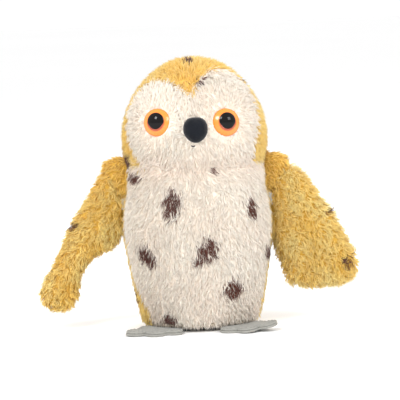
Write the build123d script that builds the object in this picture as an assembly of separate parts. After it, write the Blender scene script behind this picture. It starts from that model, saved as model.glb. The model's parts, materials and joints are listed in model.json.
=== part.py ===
from build123d import *
import math
import os

# Plush owl with flapping wings. Millimetres, +Z up. The owl faces -Y and its own left
# side is +X. The origin is on the floor under the middle of the base plate.

# Soft outer shape: (height, radius) of the side, then a domed head
SKIN_BOTTOM_Z = 4.2
SKIN_BOTTOM_RADIUS = 46.0
BODY_SIDE = [(10, 50.5), (24, 54), (43, 57.5), (79, 63), (100, 62.5), (118, 59.5), (135, 59.5)]
HEAD_CENTRE_Z = 157.0
HEAD_RADIUS = 61.0
HEAD_DOME_HEIGHT = 72.0
CROWN_RADIUS = 54.0
TEMPLE_RADIUS = ((CROWN_RADIUS ** 2 - HEAD_RADIUS ** 2 - (HEAD_DOME_HEIGHT - CROWN_RADIUS) ** 2)
                 / (2 * (CROWN_RADIUS - HEAD_RADIUS)))
SKIN = 5.0
NECK_Z = 138.0
SIDE_SEAM_Y = -10.0
FACE_BACK_Y = -4.0

# Face trim
EYE_SEATS = {1: (27.4, 174.0), -1: (31.0, 175.8)}
EYE_SINK = 2.5
EYE_TURN = 18.0
EYE_TILT = 8.0
IRIS_DIAMETER = 23.0
PUPIL_DIAMETER = 14.0
BEAK_X = 1.2
BEAK_Z = 168.5
BEAK_FRONT_Y = -67.0
STITCH_DROP = 12.3

# Seen from the front: the edge of the pale face on the owl's left, from the crown's peak
# down to the neck, then on its right with X counted outwards
FACE_LEFT_HALF = [
    (0, 192.5), (2.2, 200.5), (5.8, 207.8), (11.8, 213.3), (19.4, 216.5), (29.4, 213.8), (39, 205.4),
    (46.3, 196), (51.6, 183), (53, 169.6), (50.4, 158.3), (48, 147), (47, NECK_Z),
]
FACE_RIGHT_HALF = [
    (0, 192.5), (2.9, 197), (7.6, 200.5), (14, 204.5), (22.3, 207.7), (30.7, 207.6), (39.2, 203.5),
    (45.5, 196), (50.8, 187.9), (54.6, 174.6), (54.2, 161.3), (51, 151.5), (46.4, 143.5),
    (44.5, NECK_Z),
]

# Base plate, battery bay and hard core
PLATE_LENGTH = 80.0
PLATE_DEPTH = 68.0
PLATE_CORNER = 20.0
PLATE_THICKNESS = 3.0
LIP_TOP_Z = SKIN_BOTTOM_Z + SKIN
WALL = 2.0
CELL_DIAMETER = 14.5
CELL_LENGTH = 50.5
CELL_PITCH = 15.2
CELL_Z = 10.9
CONTACT = 0.4
BAY_X = 28.0
BAY_Y = 23.3
BAY_TOP_Z = 22.5
DOOR_LEDGE = 1.6
DOOR_GAP = 0.2
DOOR_Z = (0.0, 2.0)
TAB_SCREW_Y = 28.0
TAB_END_Y = 31.5
CORE_X = 34.0
CORE_TOP_Z = 146.0
SHOULDER_X = 47.0
SHOULDER_Z = 112.0
CORE_FRONT_Y = -24.0
CORE_SPLIT_Y = -6.0
CORE_BACK_Y = 14.0
CASE_SCREWS = [(-29.5, 27.0), (29.5, 27.0), (-29.5, 106.0), (29.5, 106.0), (0.0, 141.6)]
BASE_SCREWS = [(-18.0, -12.0), (18.0, -12.0), (-18.0, 2.0), (18.0, 2.0)]
SCREW_RADIUS = 1.3
SCREW_HEAD_RADIUS = 2.4
SCREW_HEAD_HEIGHT = 1.8

# Wing drive: every shaft lies along Y
WING_PIVOT = (39.6, 128.0)
WING_MODULE = 0.8
WING_TEETH = 33
PINION_TEETH = 11
FINE_MODULE = 0.5
WHEEL_TEETH = 50
FINE_PINION_TEETH = 10
PRESSURE_ANGLE = math.radians(25)
BACKLASH = 0.1
LAYER_A = (-3.5, 0.5)
LAYER_B = (1.5, 4.5)
LAYER_C = (5.5, 8.5)
PIN_RADIUS = 1.0
RUNNING_FIT = 0.05
BOSS_RADIUS = 3.0
TRAIN_SLOPE = math.radians(30)

# Loudspeaker, circuit board and belly button
SPEAKER_Z = 50.0
SPEAKER_RADIUS = 20.0
BOARD_X = 28.0
BOARD_Y = (6.0, 7.6)
BOARD_Z = (32.0, 80.0)
BOARD_SCREWS = [(-24.0, 36.0), (24.0, 36.0), (-24.0, 76.0), (24.0, 76.0)]
BUTTON_Z = 81.0
BUTTON_RADIUS = 7.0
BUTTON_TRAVEL = 1.5
WIRE_RADIUS = 0.6

# Wings and feet
WING_MID_Y = 3.0
WING_THICKNESS = 22.0
WING_SKIN = 3.0
FELT = 2.0
HEEL = (36.0, -34.0)
TOE_ROOT = (36.0, -38.0)
TOES = [(-42.0, 27.5, 8.5), (6.0, 28.0, 9.0), (52.0, 32.0, 8.5)]

# Seen from the front: the rim of the owl's left wing, shoulder to lower root
LEFT_WING_RIM = [
    (80, 137), (90.6, 131), (99.3, 121), (107, 108), (116.2, 96), (124, 80), (130, 67.5),
    (136, 54.5), (137.2, 42), (131, 31.5), (121, 26.5), (107.5, 25), (90, 26), (76.8, 27.5),
    (72.2, 36), (70.2, 47), (66.6, 60),
]
# The other wing hangs lower and narrower, with its X counted outwards
RIGHT_WING_RIM = [
    (80, 137), (86.5, 129.5), (94.7, 115), (105.5, 98.5), (114.7, 83), (121.3, 68.5), (127.5, 56.5),
    (134.7, 45), (139.8, 34), (138.2, 22.5), (128.5, 14.5), (115.7, 12), (105.5, 17.7), (99.8, 30),
    (95.2, 43), (87, 54), (74.2, 64), (67.6, 71),
]
WING_ROOT = [(65.2, 90), (64, 110), (80, 137)]
ARM_TIP = (95.0, 75.0)
ARM_WIDTH = 7.0


# ---------------------------------------------------------------- basic shapes

def block(x0, x1, y0, y1, z0, z1):
    """Box between two corners."""
    centre = ((x0 + x1) / 2, (y0 + y1) / 2, (z0 + z1) / 2)
    return Pos(*centre) * Box(x1 - x0, y1 - y0, z1 - z0)


def slab_y(face, y0, y1):
    """A face drawn in X and Z, thickened from y0 to y1."""
    return extrude(Plane.XZ.offset(-y1) * face, amount=y1 - y0, dir=(0, -1, 0))


def slab_z(face, z0, z1):
    """A face drawn in X and Y, thickened from z0 to z1."""
    return extrude(Plane.XY.offset(z0) * face, amount=z1 - z0, dir=(0, 0, 1))


def rod_y(x, z, radius, y0, y1):
    return slab_y(Pos(x, z) * Circle(radius), y0, y1)


def rod_z(x, y, radius, z0, z1):
    return slab_z(Pos(x, y) * Circle(radius), z0, z1)


def joined(shapes):
    """All the shapes in one, apart or touching."""
    shapes = list(shapes)
    whole = shapes[0]
    for shape in shapes[1:]:
        whole = whole + shape
    return whole


def mirrored(shape):
    """The same shape on the owl's right side."""
    return mirror(shape, about=Plane.YZ)


def wire_tube(points, bend=3.0):
    path = FilletPolyline(*points, radius=bend)
    start = Plane(origin=path @ 0, z_dir=path % 0)
    return sweep(start * Circle(WIRE_RADIUS), path=path)


def envelope(inset=0.0):
    """Solid of the whole body and head, drawn in by the inset."""
    bottom = SKIN_BOTTOM_Z + inset
    corner = (SKIN_BOTTOM_RADIUS - inset, bottom)
    points = [(radius - inset, z) for z, radius in BODY_SIDE if z > bottom + 2]
    brow = (HEAD_RADIUS - inset, HEAD_CENTRE_Z)
    crown = (0, HEAD_CENTRE_Z + HEAD_DOME_HEIGHT - inset)
    slopes = [(0.5, 0.85), (0, 1)]
    side = Spline(corner, *points, brow, tangents=slopes, tangent_scalars=[0.3, 0.3])
    cap_z = HEAD_CENTRE_Z + HEAD_DOME_HEIGHT - CROWN_RADIUS
    temple_x = HEAD_RADIUS - TEMPLE_RADIUS
    turn = math.degrees(math.atan2(cap_z - HEAD_CENTRE_Z, -temple_x))
    temple = CenterArc((temple_x, HEAD_CENTRE_Z), TEMPLE_RADIUS - inset, 0, turn)
    cap = CenterArc((0, cap_z), CROWN_RADIUS - inset, turn, 90 - turn)
    outline = [Line((0, bottom), corner), side, temple, cap, Line(crown, (0, bottom))]
    return revolve(Plane.YZ * make_face(outline), Axis.Z)


# ---------------------------------------------------------------- gears

def tooth_angle(module, teeth, radius):
    """Half the angle that a tooth fills at this radius."""
    pitch_radius = module * teeth / 2
    base_radius = pitch_radius * math.cos(PRESSURE_ANGLE)
    roll = math.acos(min(1.0, base_radius / radius))
    at_pitch = math.pi / (2 * teeth) - BACKLASH / (4 * pitch_radius)
    spread = math.tan(PRESSURE_ANGLE) - PRESSURE_ANGLE
    return at_pitch + spread - (math.tan(roll) - roll)


def gear_face(module, teeth, phase):
    """Stub-tooth gear outline about the origin, with a tooth at the phase angle."""
    pitch_radius = module * teeth / 2
    root = pitch_radius - 1.1 * module
    foot = max(root, pitch_radius * math.cos(PRESSURE_ANGLE))
    tip = pitch_radius + 0.8 * module
    radii = [foot, (foot + pitch_radius) / 2, pitch_radius, (pitch_radius + tip) / 2, tip]
    rise = [(radius, -tooth_angle(module, teeth, radius)) for radius in radii]
    fall = [(radius, -angle) for radius, angle in reversed(rise)]
    tooth = [(root, rise[0][1])] * (root < foot) + rise + fall
    tooth = tooth + [(root, fall[-1][1])] * (root < foot)
    points = []
    for index in range(teeth):
        turn = phase + 2 * math.pi * index / teeth
        points += [(r * math.cos(turn + a), r * math.sin(turn + a)) for r, a in tooth]
    return make_face(Polyline(*points, close=True))


def meshing_phase(teeth_a, phase_a, teeth_b, direction):
    """Phase of gear B that meshes with gear A, lying from A in this direction."""
    pitch_a = 2 * math.pi / teeth_a
    pitch_b = 2 * math.pi / teeth_b
    return direction + math.pi + pitch_b * (0.5 - (phase_a - direction) / pitch_a)


def train_centres():
    """Centres (X, Z) of the second gear, the first gear and the motor."""
    idler = (WING_PIVOT[0] / 3, WING_PIVOT[1])
    second = (idler[0], idler[1] - WING_MODULE * (WING_TEETH + PINION_TEETH) / 2)
    step = FINE_MODULE * (WHEEL_TEETH + FINE_PINION_TEETH) / 2
    dx = step * math.cos(TRAIN_SLOPE)
    dz = step * math.sin(TRAIN_SLOPE)
    first = (second[0] - dx, second[1] - dz)
    motor = (first[0] - dx, first[1] - dz)
    return second, first, motor


SECOND, FIRST, MOTOR = train_centres()
IDLER = (WING_PIVOT[0] / 3, WING_PIVOT[1])
BORE = PIN_RADIUS + RUNNING_FIT


def idler_gear(side):
    x = side * IDLER[0]
    wheel = slab_y(Pos(x, IDLER[1]) * gear_face(WING_MODULE, WING_TEETH, 0.0), *LAYER_A)
    return wheel - rod_y(x, IDLER[1], BORE, *LAYER_A)


def second_gear():
    place = Pos(*SECOND)
    phase = meshing_phase(WING_TEETH, 0.0, PINION_TEETH, -math.pi / 2)
    pinion = slab_y(place * gear_face(WING_MODULE, PINION_TEETH, phase), *LAYER_A)
    hub = rod_y(*SECOND, 3.0, LAYER_A[1], LAYER_B[0])
    wheel = slab_y(place * gear_face(FINE_MODULE, WHEEL_TEETH, 0.0), *LAYER_B)
    tail = rod_y(*SECOND, 1.9, LAYER_B[1], LAYER_C[1] + 0.4)
    return joined([pinion, hub, wheel, tail]) - rod_y(*SECOND, BORE, -10, 12)


def first_gear():
    place = Pos(*FIRST)
    back = math.pi + TRAIN_SLOPE
    phase = meshing_phase(WHEEL_TEETH, 0.0, FINE_PINION_TEETH, back)
    pinion = slab_y(place * gear_face(FINE_MODULE, FINE_PINION_TEETH, phase), *LAYER_B)
    hub = rod_y(*FIRST, 1.9, LAYER_B[1], LAYER_C[0])
    wheel = slab_y(place * gear_face(FINE_MODULE, WHEEL_TEETH, 0.0), *LAYER_C)
    return joined([pinion, hub, wheel]) - rod_y(*FIRST, BORE, -10, 12)


def motor_pinion():
    back = math.pi + TRAIN_SLOPE
    phase = meshing_phase(WHEEL_TEETH, 0.0, FINE_PINION_TEETH, back)
    gear = slab_y(Pos(*MOTOR) * gear_face(FINE_MODULE, FINE_PINION_TEETH, phase), *LAYER_C)
    return gear - rod_y(*MOTOR, PIN_RADIUS, *LAYER_C)


def drive_nodes():
    pivots = [(side * x, z) for x, z in (WING_PIVOT, IDLER) for side in (-1, 1)]
    inside = (CORE_FRONT_Y + WALL, CORE_BACK_Y - WALL)
    return {
        "left_idler_gear": idler_gear(1),
        "right_idler_gear": idler_gear(-1),
        "second_gear": second_gear(),
        "first_gear": first_gear(),
        "motor_pinion": motor_pinion(),
        "gear_pins": joined(rod_y(x, z, PIN_RADIUS, *inside) for x, z in [*pivots, SECOND, FIRST]),
    }


# ---------------------------------------------------------------- motor

MOTOR_Y = (-19.5, 4.5)
MOTOR_RADIUS = 10.05
MOTOR_FLAT = 7.55


def motor_outline(trim):
    """Round can with a flat above and below, drawn in by the trim."""
    flats = Rectangle(40, 2 * (MOTOR_FLAT - trim))
    return Pos(*MOTOR) * (Circle(MOTOR_RADIUS - trim) & flats)


def motor_nodes():
    can = slab_y(motor_outline(0), *MOTOR_Y)
    can = can - rod_y(*MOTOR, BORE, MOTOR_Y[0], MOTOR_Y[1])
    cap = slab_y(motor_outline(1), CORE_FRONT_Y + WALL, MOTOR_Y[0])
    shaft = rod_y(*MOTOR, PIN_RADIUS, MOTOR_Y[0] + 0.3, LAYER_C[1] + 1)
    return {"motor_can": can, "motor_end_cap": cap, "motor_shaft": shaft}


# ---------------------------------------------------------------- hard core

def core_outline(inset=0.0):
    """Front view of the mechanism case: a column with wide shoulders."""
    top = CORE_TOP_Z - inset
    foot = BAY_TOP_Z + inset
    ledge = SHOULDER_Z + inset
    column = Rectangle(2 * (CORE_X - inset), top - foot)
    shoulders = Rectangle(2 * (SHOULDER_X - inset), top - ledge)
    return Pos(0, (top + foot) / 2) * column + Pos(0, (top + ledge) / 2) * shoulders


def case_half(y0, y1, wall_side):
    """Open-sided tray between y0 and y1, its big wall on the given side."""
    outer = slab_y(core_outline(), y0, y1)
    near = y0 + WALL * (wall_side < 0)
    far = y1 - WALL * (wall_side > 0)
    return outer - slab_y(core_outline(WALL), near, far)


def lever_slots():
    """Windows in the two shoulders, where the wing arms come out."""
    slot = block(WING_PIVOT[0] + 4, SHOULDER_X + 2, LAYER_A[0] - 0.7, LAYER_A[1] + 0.7, 115, 134)
    return slot + mirrored(slot)


def speaker_grille():
    """Holes in front of the loudspeaker: one in the middle, then two rings."""
    holes = [rod_y(0, SPEAKER_Z, 1.2, -26, -21)]
    for ring_radius, count in ((5.5, 6), (11.0, 12)):
        for index in range(count):
            angle = 2 * math.pi * index / count
            x = ring_radius * math.cos(angle)
            z = SPEAKER_Z + ring_radius * math.sin(angle)
            holes.append(rod_y(x, z, 1.2, -26, -21))
    return joined(holes)


def core_front_shell():
    inner = CORE_FRONT_Y + WALL
    shell = case_half(CORE_FRONT_Y, CORE_SPLIT_Y, -1)
    low_end = LAYER_A[0] - 0.5
    bosses = [rod_y(x, z, BOSS_RADIUS, inner, CORE_SPLIT_Y) for x, z in CASE_SCREWS]
    for x, z in (WING_PIVOT, IDLER):
        bosses += [rod_y(side * x, z, BOSS_RADIUS, inner, low_end) for side in (-1, 1)]
    bosses.append(rod_y(*SECOND, BOSS_RADIUS, inner, low_end))
    bosses.append(rod_y(*FIRST, BOSS_RADIUS, inner, LAYER_B[0] - 0.5))
    bosses += [rod_z(x, y, BOSS_RADIUS, BAY_TOP_Z + WALL, 34) for x, y in BASE_SCREWS[:2]]
    bosses += [rod_y(side * 10, BUTTON_Z - 7, 1.8, inner, -13.4) for side in (-1, 1)]
    for flat in (-1, 1):
        z = MOTOR[1] + flat * (MOTOR_FLAT + 1)
        bosses.append(block(MOTOR[0] - 6, MOTOR[0] + 6, inner, CORE_SPLIT_Y, z - 1, z + 1))
    shell = shell + joined(bosses)
    drilled = [rod_y(x, z, SCREW_RADIUS, inner + 2, CORE_SPLIT_Y) for x, z in CASE_SCREWS]
    for x, z in (WING_PIVOT, IDLER):
        drilled += [rod_y(side * x, z, PIN_RADIUS, inner, 12) for side in (-1, 1)]
    drilled += [rod_y(*centre, PIN_RADIUS, inner, 12) for centre in (SECOND, FIRST)]
    drilled += [rod_z(x, y, SCREW_RADIUS, BAY_TOP_Z, 32) for x, y in BASE_SCREWS[:2]]
    drilled.append(rod_y(0, BUTTON_Z, BUTTON_RADIUS + 0.2, -26, -21))
    drilled.append(rod_y(24, 92, 1.0, -26, -21))
    return shell - joined(drilled) - speaker_grille() - lever_slots()


def core_rear_shell():
    inner = CORE_BACK_Y - WALL
    shell = case_half(CORE_SPLIT_Y, CORE_BACK_Y, 1)
    bosses = [rod_y(x, z, BOSS_RADIUS, CORE_SPLIT_Y, inner) for x, z in CASE_SCREWS]
    for x, z in (WING_PIVOT, IDLER):
        bosses += [rod_y(side * x, z, BOSS_RADIUS, LAYER_A[1] + 0.5, inner) for side in (-1, 1)]
    for centre in (SECOND, FIRST):
        bosses.append(rod_y(*centre, BOSS_RADIUS, LAYER_C[1] + 0.9, inner))
    bosses += [rod_z(x, y, BOSS_RADIUS, BAY_TOP_Z + WALL, 34) for x, y in BASE_SCREWS[2:]]
    bosses += [rod_y(x, z, 2.5, BOARD_Y[1], inner) for x, z in BOARD_SCREWS]
    shell = shell + joined(bosses)
    drilled = [rod_y(x, z, SCREW_RADIUS + 0.1, CORE_SPLIT_Y, 16) for x, z in CASE_SCREWS]
    head = (CORE_BACK_Y - 0.2 - SCREW_HEAD_HEIGHT, 16)
    drilled += [rod_y(x, z, SCREW_HEAD_RADIUS + 0.1, *head) for x, z in CASE_SCREWS]
    for x, z in (WING_PIVOT, IDLER):
        drilled += [rod_y(side * x, z, PIN_RADIUS, 0, inner) for side in (-1, 1)]
    drilled += [rod_y(*centre, PIN_RADIUS, 0, inner) for centre in (SECOND, FIRST)]
    drilled += [rod_z(x, y, SCREW_RADIUS, BAY_TOP_Z, 32) for x, y in BASE_SCREWS[2:]]
    drilled += [rod_y(x, z, 1.0, BOARD_Y[1], 11.5) for x, z in BOARD_SCREWS]
    drilled += [rod_z(side * 19, 8.2, 1.2, BAY_TOP_Z - 3, BAY_TOP_Z + 3) for side in (-1, 1)]
    return shell - joined(drilled) - lever_slots()


def core_screws():
    screws = []
    for x, z in CASE_SCREWS:
        neck = CORE_BACK_Y - 0.2 - SCREW_HEAD_HEIGHT
        screws.append(rod_y(x, z, SCREW_RADIUS, -16, neck))
        screws.append(rod_y(x, z, SCREW_HEAD_RADIUS, neck, neck + SCREW_HEAD_HEIGHT))
    return joined(screws)


def core_nodes():
    return {
        "core_front_shell": core_front_shell(),
        "core_rear_shell": core_rear_shell(),
        "core_screws": core_screws(),
    }


# ---------------------------------------------------------------- base and batteries

SWITCH_Y = -29.3


def plate_outline(inset=0.0):
    length = PLATE_LENGTH - 2 * inset
    depth = PLATE_DEPTH - 2 * inset
    return RectangleRounded(length, depth, PLATE_CORNER - inset)


def base_plate():
    plate = slab_z(plate_outline(), 0, PLATE_THICKNESS)
    lip = slab_z(plate_outline() - plate_outline(WALL), PLATE_THICKNESS, LIP_TOP_Z)
    bay_x = BAY_X + WALL
    bay_y = BAY_Y + WALL
    bay = block(-bay_x, bay_x, -bay_y, bay_y, PLATE_THICKNESS, BAY_TOP_Z)
    solid = joined([plate, lip, bay])
    solid = solid - block(-BAY_X, BAY_X, -BAY_Y, BAY_Y, -1, BAY_TOP_Z - WALL)
    door_x = BAY_X + DOOR_LEDGE
    door_y = BAY_Y + DOOR_LEDGE
    solid = solid - block(-door_x, door_x, -door_y, door_y, -1, DOOR_Z[1])
    for x, y in BASE_SCREWS:
        solid = solid - rod_z(x, y, SCREW_RADIUS + 0.1, BAY_TOP_Z - WALL - 1, BAY_TOP_Z + 1)
    for side in (-1, 1):
        solid = solid - rod_z(side * 19, 8.2, 1.2, BAY_TOP_Z - WALL - 1, BAY_TOP_Z + 1)
    solid = solid - block(-5, 5, SWITCH_Y - 1.7, SWITCH_Y + 1.7, -1, PLATE_THICKNESS + 1)
    tab_room = block(-4.2, 4.2, door_y - 1, TAB_END_Y + DOOR_GAP, -1, DOOR_Z[1])
    boss = rod_z(0, TAB_SCREW_Y, 3.0, DOOR_Z[1], 8.0)
    pilot = rod_z(0, TAB_SCREW_Y, 1.0 + RUNNING_FIT, -1, 7.5)
    return solid - tab_room + boss - pilot


def battery_door():
    """Flat cover with two finger grips and a screw tab."""
    door_x = BAY_X + DOOR_LEDGE - DOOR_GAP
    door_y = BAY_Y + DOOR_LEDGE - DOOR_GAP
    door = block(-door_x, door_x, -door_y, door_y, *DOOR_Z)
    tab = block(-4, 4, door_y, TAB_END_Y, *DOOR_Z)
    grips = [block(x - 5, x + 5, -door_y + 3, -door_y + 4, -1, 1.2) for x in (-12, 12)]
    screw_seat = rod_z(0, TAB_SCREW_Y, SCREW_HEAD_RADIUS + 0.1, -1, 1.2)
    screw_hole = rod_z(0, TAB_SCREW_Y, 1.2, -1, 3)
    return door + tab - joined(grips) - screw_seat - screw_hole


def base_screws():
    screws = []
    for x, y in BASE_SCREWS:
        neck = BAY_TOP_Z - WALL
        screws.append(rod_z(x, y, SCREW_RADIUS, neck, 31))
        screws.append(rod_z(x, y, SCREW_HEAD_RADIUS, neck - SCREW_HEAD_HEIGHT, neck))
    return joined(screws)


def battery_spring(end, y):
    """Conical coil, as rings side by side."""
    rings = []
    for index in range(5):
        x = end * (BAY_X - CONTACT - 0.4 - 0.85 * index)
        rings.append(Pos(x, y, CELL_Z) * Rot(0, 90, 0) * Torus(3.4 - 0.3 * index, 0.35))
    return rings


def battery_cell(spring_end, y):
    """AA cell pushed by its spring against the plate at the other end."""
    tip = BAY_X - CONTACT
    can_length = CELL_LENGTH - 1.0
    turned = Rot(0, 90, 0)
    can = Pos(-spring_end * (tip - 1.0 - can_length / 2), y, CELL_Z) * turned
    knob = Pos(-spring_end * (tip - 0.5), y, CELL_Z) * turned
    return can * Cylinder(CELL_DIAMETER / 2, can_length) + knob * Cylinder(2.7, 1.0)


def battery_nodes():
    cells = []
    springs = []
    plates = []
    for index, y in enumerate((-CELL_PITCH, 0.0, CELL_PITCH)):
        spring_end = 1 if index % 2 else -1
        cells.append(battery_cell(spring_end, y))
        springs += battery_spring(spring_end, y)
        for end in (-1, 1):
            edge = sorted((end * BAY_X, end * (BAY_X - CONTACT)))
            plates.append(block(*edge, y - 5, y + 5, CELL_Z - 5, CELL_Z + 8.2))
    return {
        "batteries": joined(cells),
        "battery_springs": joined(springs),
        "battery_contact_plates": joined(plates),
    }


def power_switch_nodes():
    stem = block(-3.2, -0.2, SWITCH_Y - 1.5, SWITCH_Y + 1.5, 0.5, PLATE_THICKNESS + 0.1)
    low = PLATE_THICKNESS + 0.1
    slider = block(-5.5, 2.1, SWITCH_Y - 2.2, SWITCH_Y + 2.2, low, low + 1.1)
    housing = block(-8, 8, SWITCH_Y - 2.6, SWITCH_Y + 2.6, low + 1.4, LIP_TOP_Z - 0.2)
    legs = [block(x - 1, x + 1, SWITCH_Y - 2.6, SWITCH_Y + 2.6, PLATE_THICKNESS, low + 1.4)
            for x in (-7, 7)]
    return {"power_switch_knob": stem + slider, "power_switch_housing": housing + joined(legs)}


def base_nodes():
    head = rod_z(0, TAB_SCREW_Y, SCREW_HEAD_RADIUS, 0.2, 1.2)
    shank = rod_z(0, TAB_SCREW_Y, 1.0, 1.2, 7.0)
    return {
        "base_plate": base_plate(),
        "battery_door": battery_door(),
        "battery_door_screw": head + shank,
        "base_screws": base_screws(),
        **battery_nodes(),
        **power_switch_nodes(),
    }


# ---------------------------------------------------------------- loudspeaker, board, button

def speaker_nodes():
    front = CORE_FRONT_Y + WALL
    ring = Circle(SPEAKER_RADIUS) - Circle(16.5)
    gasket = slab_y(Pos(0, SPEAKER_Z) * ring, front, front + 0.8)
    flange = slab_y(Pos(0, SPEAKER_Z) * ring, front + 0.8, front + 2.0)
    basket_outer = Pos(0, -17.0, SPEAKER_Z) * Rot(-90, 0, 0) * Cone(17.5, 12, 6)
    basket_inner = Pos(0, -17.0, SPEAKER_Z) * Rot(-90, 0, 0) * Cone(16.5, 11, 6)
    magnet = rod_y(0, SPEAKER_Z, 12, -14, -9.5)
    tab = block(11, 17, -14, -13, SPEAKER_Z - 3, SPEAKER_Z + 3)
    frame = joined([flange, basket_outer - basket_inner, magnet, tab])
    paper = Cone(16.0, 6, 4) - Pos(0, 0, -0.6) * Cone(16.0, 6, 4)
    cone = Pos(0, -18.2, SPEAKER_Z) * Rot(-90, 0, 0) * paper
    return {"speaker_frame": frame, "speaker_cone": cone, "speaker_gasket": gasket}


def board_nodes():
    board = block(-BOARD_X, BOARD_X, *BOARD_Y, *BOARD_Z)
    screws = []
    for x, z in BOARD_SCREWS:
        board = board - rod_y(x, z, 1.1, *BOARD_Y)
        screws.append(rod_y(x, z, 1.0, BOARD_Y[0], 11.5))
        screws.append(rod_y(x, z, 2.0, BOARD_Y[0] - 1.4, BOARD_Y[0]))
    face = BOARD_Y[0]
    parts = [
        block(-9, 3, face - 1.8, face, 52, 64),
        block(-20, -14, face - 1.4, face, 46, 50),
        block(-18, -9, face - 4.0, face, 38, 42),
        rod_y(13, 62, 3.2, face - 7, face),
        rod_y(10, 40, 2.5, face - 5, face),
        block(6, 9, face - 2.2, face, 48, 56),
    ]
    return {
        "circuit_board": board,
        "board_components": joined(parts),
        "board_screws": joined(screws),
    }


def button_nodes():
    wall_back = CORE_FRONT_Y + WALL
    cap = rod_y(0, BUTTON_Z, BUTTON_RADIUS, CORE_FRONT_Y - 3, wall_back + 0.05)
    flange = rod_y(0, BUTTON_Z, BUTTON_RADIUS + 1.2, wall_back + 0.05, wall_back + 1.2)
    stem = rod_y(0, BUTTON_Z, 2.5, wall_back + 1.2, wall_back + 2.6)
    rest_gap = 0.1
    plunger_front = wall_back + 2.6 + BUTTON_TRAVEL + rest_gap
    plunger = rod_y(0, BUTTON_Z, 1.7, plunger_front, plunger_front + 0.6)
    body = block(-3, 3, plunger_front + 0.6, -13.4, BUTTON_Z - 3, BUTTON_Z + 3)
    carrier = block(-12, 12, -13.4, -11.8, BUTTON_Z - 11, BUTTON_Z + 3.5)
    return {
        "belly_button": joined([cap, flange, stem]),
        "button_switch": plunger + body,
        "switch_board": carrier,
        "microphone": rod_y(24, 92, 3.0, wall_back, wall_back + 2.7),
    }


def wire_nodes():
    """Inner wires, each ending square on the circuit board."""
    face = BOARD_Y[0]
    behind = BOARD_Y[1] + WIRE_RADIUS
    battery = []
    for side in (-1, 1):
        x = side * 19
        route = [(side * 27.6, behind, 19.3), (x, behind, 19.3), (x, behind, 40)]
        battery.append(wire_tube(route, 2.5))
    motor = []
    for x, z in ((-25.2, 93.0), (-28.4, 98.0)):
        start = (MOTOR[0] - MOTOR_RADIUS + 0.6, -20.8, z)
        bends = [(x, -20.8, z - 4), (x, -14, 77), (x + 5, -4, 70)]
        motor.append(wire_tube([start, *bends, (x + 5, face, 70)]))
    speaker = []
    for z in (SPEAKER_Z - 1.6, SPEAKER_Z + 1.6):
        bends = [(15, -6, z), (21, -1, z + 4)]
        speaker.append(wire_tube([(15, -13, z), *bends, (21, face, z + 4)], 2.0))
    signal = []
    for x in (-2.0, 2.0):
        signal.append(wire_tube([(x, -11.8, 76), (x, -6, 76), (x, 0, 71), (x, face, 71)], 2.0))
    bends = [(24, -13, 92), (24, -4, 86), (22, -2, 73)]
    signal.append(wire_tube([(24, -19.3, 92), *bends, (22, face, 73)], 2.0))
    return {
        "power_wires": joined(battery + motor),
        "signal_wires": joined(speaker + signal),
    }


# ---------------------------------------------------------------- plush body

def face_region():
    """Front view of the pale face, with the crown's peak between two lobes."""
    right = Spline(*FACE_LEFT_HALF)
    left = Spline(*[(-x, z) for x, z in FACE_RIGHT_HALF])
    closing = Line(FACE_LEFT_HALF[-1], (-FACE_RIGHT_HALF[-1][0], NECK_Z))
    return slab_y(make_face([right, closing, left]), -80, FACE_BACK_Y)


def core_cavity():
    """Room inside the stuffing for the base, the case and the button."""
    base = slab_z(plate_outline(), 0, LIP_TOP_Z)
    bay_x = BAY_X + WALL
    bay_y = BAY_Y + WALL
    bay = block(-bay_x, bay_x, -bay_y, bay_y, LIP_TOP_Z, BAY_TOP_Z)
    case = slab_y(core_outline(), CORE_FRONT_Y, CORE_BACK_Y)
    button = rod_y(0, BUTTON_Z, BUTTON_RADIUS + 1, CORE_FRONT_Y - 6, CORE_FRONT_Y)
    return joined([base, bay, case, button])


def shoulder_throat():
    """Way out through the stuffing and the skin for the left wing arm."""
    outline = Polygon((45, 115), (45, 134), (76, 135), (76, 90), align=None)
    return slab_y(outline, LAYER_A[0] - 1.2, LAYER_A[1] + 1.2)


def eye_plane(side):
    turn = math.radians(EYE_TURN)
    tilt = math.radians(EYE_TILT)
    out = (side * math.sin(turn) * math.cos(tilt), -math.cos(turn) * math.cos(tilt), math.sin(tilt))
    x, z = EYE_SEATS[side]
    temple_x = HEAD_RADIUS - TEMPLE_RADIUS
    surface = temple_x + math.sqrt(TEMPLE_RADIUS ** 2 - (z - HEAD_CENTRE_Z) ** 2)
    seat = Vector(side * x, -math.sqrt(surface ** 2 - x ** 2), z)
    return Plane(origin=seat - Vector(*out) * EYE_SINK, z_dir=out)


def dome(diameter, height):
    """Spherical cap standing on the XY plane."""
    radius = diameter / 2
    ball = (radius ** 2 + height ** 2) / (2 * height)
    cap = Pos(0, 0, height - ball) * Sphere(ball)
    return cap & Pos(0, 0, height) * Box(diameter, diameter, 2 * height)


def eye_solids(side):
    """Iris with its shank, pupil and lock washer of one safety eye."""
    place = eye_plane(side)
    hollow = Cylinder(PUPIL_DIAMETER / 2, 10, align=(Align.CENTER, Align.CENTER, Align.MIN))
    rim = Pos(0, 0, -1) * Cylinder(IRIS_DIAMETER / 2, 2)
    shank = Pos(0, 0, -9.5) * Cylinder(2.5, 15)
    iris = dome(IRIS_DIAMETER, 5.0) - Pos(0, 0, 1.5) * hollow + rim + shank
    pupil = Pos(0, 0, 2.5) * Cylinder(PUPIL_DIAMETER / 2, 2)
    pupil = pupil + Pos(0, 0, 3.5) * dome(PUPIL_DIAMETER, 2.4)
    washer = Pos(0, 0, -10) * (Cylinder(9, 1.5) - Cylinder(2.5, 1.5))
    return place * iris, place * pupil, place * washer


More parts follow.
